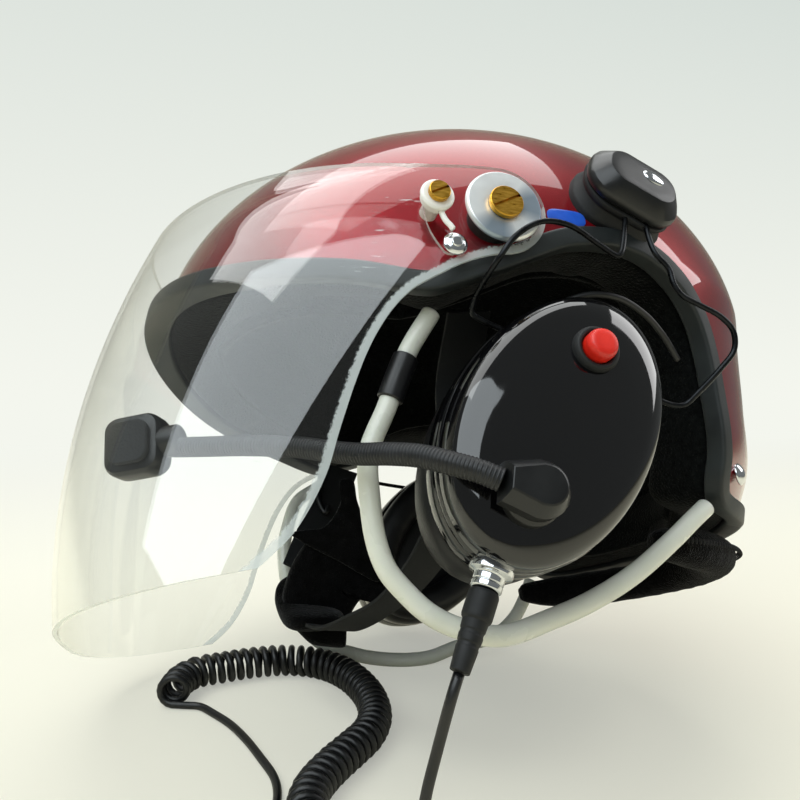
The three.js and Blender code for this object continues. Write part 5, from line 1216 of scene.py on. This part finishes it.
collar = build("neck_roll_piece", *neckRoll(neck, shrink=neck["shrink"]), velourFinish, sharp=0)
swell(collar, neck)
stand(collar, "neck_roll")
seamLine = neckRoll(neck, steps=160, sides=8, shrink=1.01)[0].reshape(161, 8, 3)[6:-6, 0] + [0.2, 0, 0]
stitches = repeatAlong("neck_stitching", seamLine, stitch, threadFinish)
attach(stitches, "helmet")

strap = {  # the last three numbers of a place give the direction of the width
    "wide": 20, "thick": 1.8,
    "section": [(-0.5, -0.35), (-0.47, -0.5), (0.47, -0.5), (0.5, -0.35), (0.5, 0.35), (0.47, 0.5), (-0.47, 0.5),
                (-0.5, 0.35)],
    "right": [(-38, 95.6, 25.6, 1, 0, 0.4), (-47, 91.5, 8, 1, 0.2, 0.4), (-59, 84, -14, 1, 0.3, 0.3),
              (-71, 74.8, -37.6, 1, 0.3, 0.2)],
    "left": [(-68, 31, -72.4, 1, 0, -0.2), (-64, 17, -75, 1, 0, -0.1), (-56, -6, -73, 1, 0, 0),
             (-45, -34, -66, 1, 0, 0.2), (-33, -60, -46, 1, 0, 0.3), (-27, -73, -16, 1, 0, 0.3),
             (-25, -78, 12, 1, 0, 0.2), (-24.5, -98, 32.8, 1, 0, 0.26)],
}


def webbing(places, count=60):  # flat woven strap
    data = smoothRoute(np.array(places, float), count)
    line, across = data[:, :3], data[:, 3:]
    tangent = unit(np.gradient(line, axis=0))
    across = unit(across - tangent * (across * tangent).sum(1, keepdims=True))
    out = np.cross(across, tangent)
    rings = [line + across * (a * strap["wide"]) + out * (b * strap["thick"]) for a, b in strap["section"]]
    return np.stack(rings, 1).reshape(-1, 3), wallFaces(len(line), len(rings), capped=True)


webFinish = finish("woven webbing", {"dark": "08090a", "light": "181a1b", "scale": 700, "rough": (0.7, 0.85),
                   "grain": 1800, "bump": 0.6, "depth": 0.0003, "shine": 0.3, "stretch": (1, 1, 2.2)})
for side in ("right", "left"):
    fitted(f"chin_strap_{side}", webbing(strap[side]), webFinish, "lining_cloth", sharp=50)

chin = {
    "middle": (-70.5, 52.0, -56.0), "thick": 0.012, "wide": 31.0, "long": 48.0, "deep": 12.0, "sag": 6, "tilt": 38,
    "turn": 6, "flapAhead": 0.007, "flapShare": 0.4,
    "flap": [(340, 480), (353, 480), (357, 500), (364, 520), (374, 545), (386, 570), (378, 582), (360, 574), (340, 562),
             (322, 553), (305, 544), (289, 533), (305, 530), (322, 528), (334, 516), (341, 500)],
    "cup": [(309, 540), (330, 548), (352, 556), (376, 576), (398, 598), (388, 606), (372, 594), (360, 600), (352, 612),
            (347, 628), (345, 647), (328, 647), (311, 644), (300, 634), (293, 626), (292, 614), (284, 609), (282, 597),
            (285, 583), (293, 562)],
}


def chinShape(s, steps=48, sides=48):  # the padded part that joins the two straps
    rings = []
    around = circle(sides)
    c, k = np.cos(around), np.sin(around)
    for i in range(steps + 1):
        share = 2 * i / steps - 1
        full = math.sqrt(max(0.03, 1 - 0.95 * share ** 4))
        x = s["wide"] / 2 * full * np.sign(c) * np.abs(c) ** 0.7
        z = s["deep"] / 2 * full * np.sign(k) * np.abs(k) ** 0.7 - s["sag"] * (1 - share ** 2)
        rings.append(np.stack([x, np.full(sides, s["long"] / 2 * share * 0.98), z], -1))
    p = np.vstack(rings)
    a, b = math.radians(s["tilt"]), math.radians(s["turn"])
    y, z = p[:, 1] * math.cos(a) - p[:, 2] * math.sin(a), p[:, 1] * math.sin(a) + p[:, 2] * math.cos(a)
    x = p[:, 0] * math.cos(b) - y * math.sin(b)
    y = p[:, 0] * math.sin(b) + y * math.cos(b)
    return np.stack([x, y, z], -1) + np.array(s["middle"]), wallFaces(steps + 1, sides, capped=True)


def seenAt(picture, depth, side=800):  # places in a square picture, carried out to a depth from the camera
    p = (np.asarray(picture, float) - side / 2) / (view["lens"] / view["sensor"] * side)
    r, b = np.array(right), np.array(back)
    return np.array(view["place"]) + (r * p[:, :1] - np.cross(b, r) * p[:, 1:] - b) * depth


def padShape(outline, depth, thick, count=140):  # a cushion in the picture's plane, thin at its seam
    places = [(x, y, 0) for x, y in outline]
    edge = 0.35 * evenly(np.array(places + places[:1], float), count, closed=True)[:, :2]
    edge = edge + 0.65 * smoothRoute(places, count, closed=True)[:, :2]
    middle = edge.mean(0)
    rings = [(1.0, 0.1), (0.985, 0.45), (0.93, 0.78), (0.8, 0.95), (0.55, 1.0), (0.25, 1.0)]  # how wide, how far out
    rings = [(wide, -out) for wide, out in rings[::-1]] + rings
    points = [seenAt(middle + (edge - middle) * wide, depth + 0.5 * thick * out) for wide, out in rings]
    return np.vstack(points), wallFaces(len(rings), len(edge), capped=True)


chinDepth = float(np.dot(onHelmet([chin["middle"]])[0] - np.array(view["place"]), -np.array(back)))
flap = padShape(chin["flap"], chinDepth - chin["flapAhead"], chin["thick"] * chin["flapShare"])
lowerPad = padShape(chin["cup"], chinDepth, chin["thick"])
core = chinShape(chin)
chinPieces = together((onHelmet(core[0]), core[1]), flap, lowerPad)
chinPad = fitted("chin_pad", chinPieces, velourFinish, "lining_cloth", metres=True, sharp=0)
hook = {"radius": 1.6, "rounded": 0.5, "steps": 60, "route": [
    (-52, 91.2, 22), (-53.4, 89.2, 14), (-55, 86, 4), (-52.4, 83.8, -3.4), (-50.2, 84.4, 0.6)]}
hookShape = tubeShape(smoothRoute(hook["route"], hook["steps"]), hook["radius"], rounded=hook["rounded"])
fitted("strap_hook", hookShape, satinFinish, "black_satin", sharp=0)
crossover = {"radius": 1.3, "rounded": 0.3, "steps": 80, "route": [
    (-1.5, -113, 23.7), (5.5, -116, 27.4), (17, -119, 30.5), (30, -119.5, 29.5), (43, -116, 24.5), (53, -111, 18),
    (62, -105, 9.5)]}
crossLine = smoothRoute(crossover["route"], crossover["steps"])
crossShape = tubeShape(crossLine, crossover["radius"], rounded=crossover["rounded"])
cross = build("crossover_cable_piece", *crossShape, cableFinish, sharp=0)
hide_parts("crossover_cable")
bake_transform(cross)  # its place is baked into its mesh
print("soft goods ready")

# table, backdrop and light
stageLook = {"size": 4.0, "bend": 0.9, "far": 1.6, "high": 3.0, "near": -0.3, "floor": "e9e2ca", "middle": "efece0",
             "low": "f4f6ee", "top": "c9d3cf", "topAt": 2.2, "fade": (0.05, 0.9), "least": 0.4}


def backdropFinish(s):  # paper that takes the light and shadow, and shows the camera a paler wall than it reflects
    made, tree, place = started("backdrop paper")
    parts = put(tree, "ShaderNodeSeparateXYZ", {"Vector": place}).outputs
    tint = ramp(tree, mapped(tree, parts["Y"], (s["near"], s["far"])), (s["floor"], s["middle"]))
    paper = put(tree, "ShaderNodeBsdfPrincipled", {
        "Base Color": tint, "Roughness": 0.8, "Specular IOR Level": 0.1}).outputs["BSDF"]
    glow = ramp(tree, mapped(tree, parts["Z"], (0.0, s["topAt"])), (s["low"], s["top"]))
    lit = put(tree, "ShaderNodeEmission", {"Color": glow}).outputs["Emission"]
    reach = mapped(tree, parts["Y"], s["fade"], (s["least"], 1.0), interpolation_type="SMOOTHSTEP")
    ray = put(tree, "ShaderNodeLightPath").outputs
    seen = maths(tree, "MAXIMUM", ray["Is Camera Ray"], ray["Is Transmission Ray"])
    return covered(made, mixed(tree, maths(tree, "MULTIPLY", seen, reach), paper, lit))


wallAt, bend = stageLook["far"], stageLook["bend"]
sweepLine = [(-stageLook["size"], 0), (wallAt, 0)]
sweepLine += [(wallAt + bend * math.sin(t), bend * (1 - math.cos(t))) for t in np.linspace(0.1, math.pi / 2, 24)]
sweepLine += [(wallAt + bend, stageLook["high"])]
paperPoints = [(x, y, z) for y, z in sweepLine for x in (-stageLook["size"], stageLook["size"])]
paperFaces = [[2 * i, 2 * i + 1, 2 * i + 3, 2 * i + 2] for i in range(len(sweepLine) - 1)]
paper = build("backdrop", paperPoints, paperFaces, backdropFinish(stageLook), metres=True, sharp=0)
if paper.data.polygons[0].normal.z < 0:
    paper.data.flip_normals()


lamps = {  # where it hangs, the height that it faces, width and height, watts, colour
    "overhead": ((-0.1, 0.45, 1.7), 0.15, (2.0, 1.15), 22, (0.98, 1.0, 0.99)),
    "window": ((-0.84, -0.72, 1.42), 0.15, (1.9, 1.25), 26, (0.88, 0.96, 1.0)),
    "side": ((1.3, -0.15, 1.0), 0.12, (0.6, 0.9), 7, (1, 1, 1)),
}
roomLook = {"colour": (0.9, 0.95, 0.93, 1), "strength": 0.22}


def softbox(name, place, aimedAt, size, power, colour):
    lamp = bpy.data.lights.new(name, "AREA")
    lamp.shape, lamp.size, lamp.size_y = "RECTANGLE", size[0], size[1]
    lamp.energy, lamp.color = power, colour
    lampPiece = bpy.data.objects.new(name, lamp)
    scene.collection.objects.link(lampPiece)
    lampPiece.location = place
    lampPiece.rotation_euler = (Vector((0, 0, aimedAt)) - Vector(place)).to_track_quat("-Z", "Y").to_euler()


for name, lamp in lamps.items():
    softbox(name, *lamp)
room = bpy.data.worlds.new("room")
room.use_nodes = True
roomTree = room.node_tree
roomTree.nodes.clear()
dim, pale = [put(roomTree, "ShaderNodeBackground", {"Color": colour, "Strength": strength}).outputs["Background"]
             for colour, strength in ((roomLook["colour"], roomLook["strength"]), (rgb(stageLook["top"]), 1.0))]
raySeen = put(roomTree, "ShaderNodeLightPath").outputs["Is Camera Ray"]
put(roomTree, "ShaderNodeOutputWorld", {"Surface": mixed(roomTree, raySeen, dim, pale)})
scene.world = room

print("scene ready")
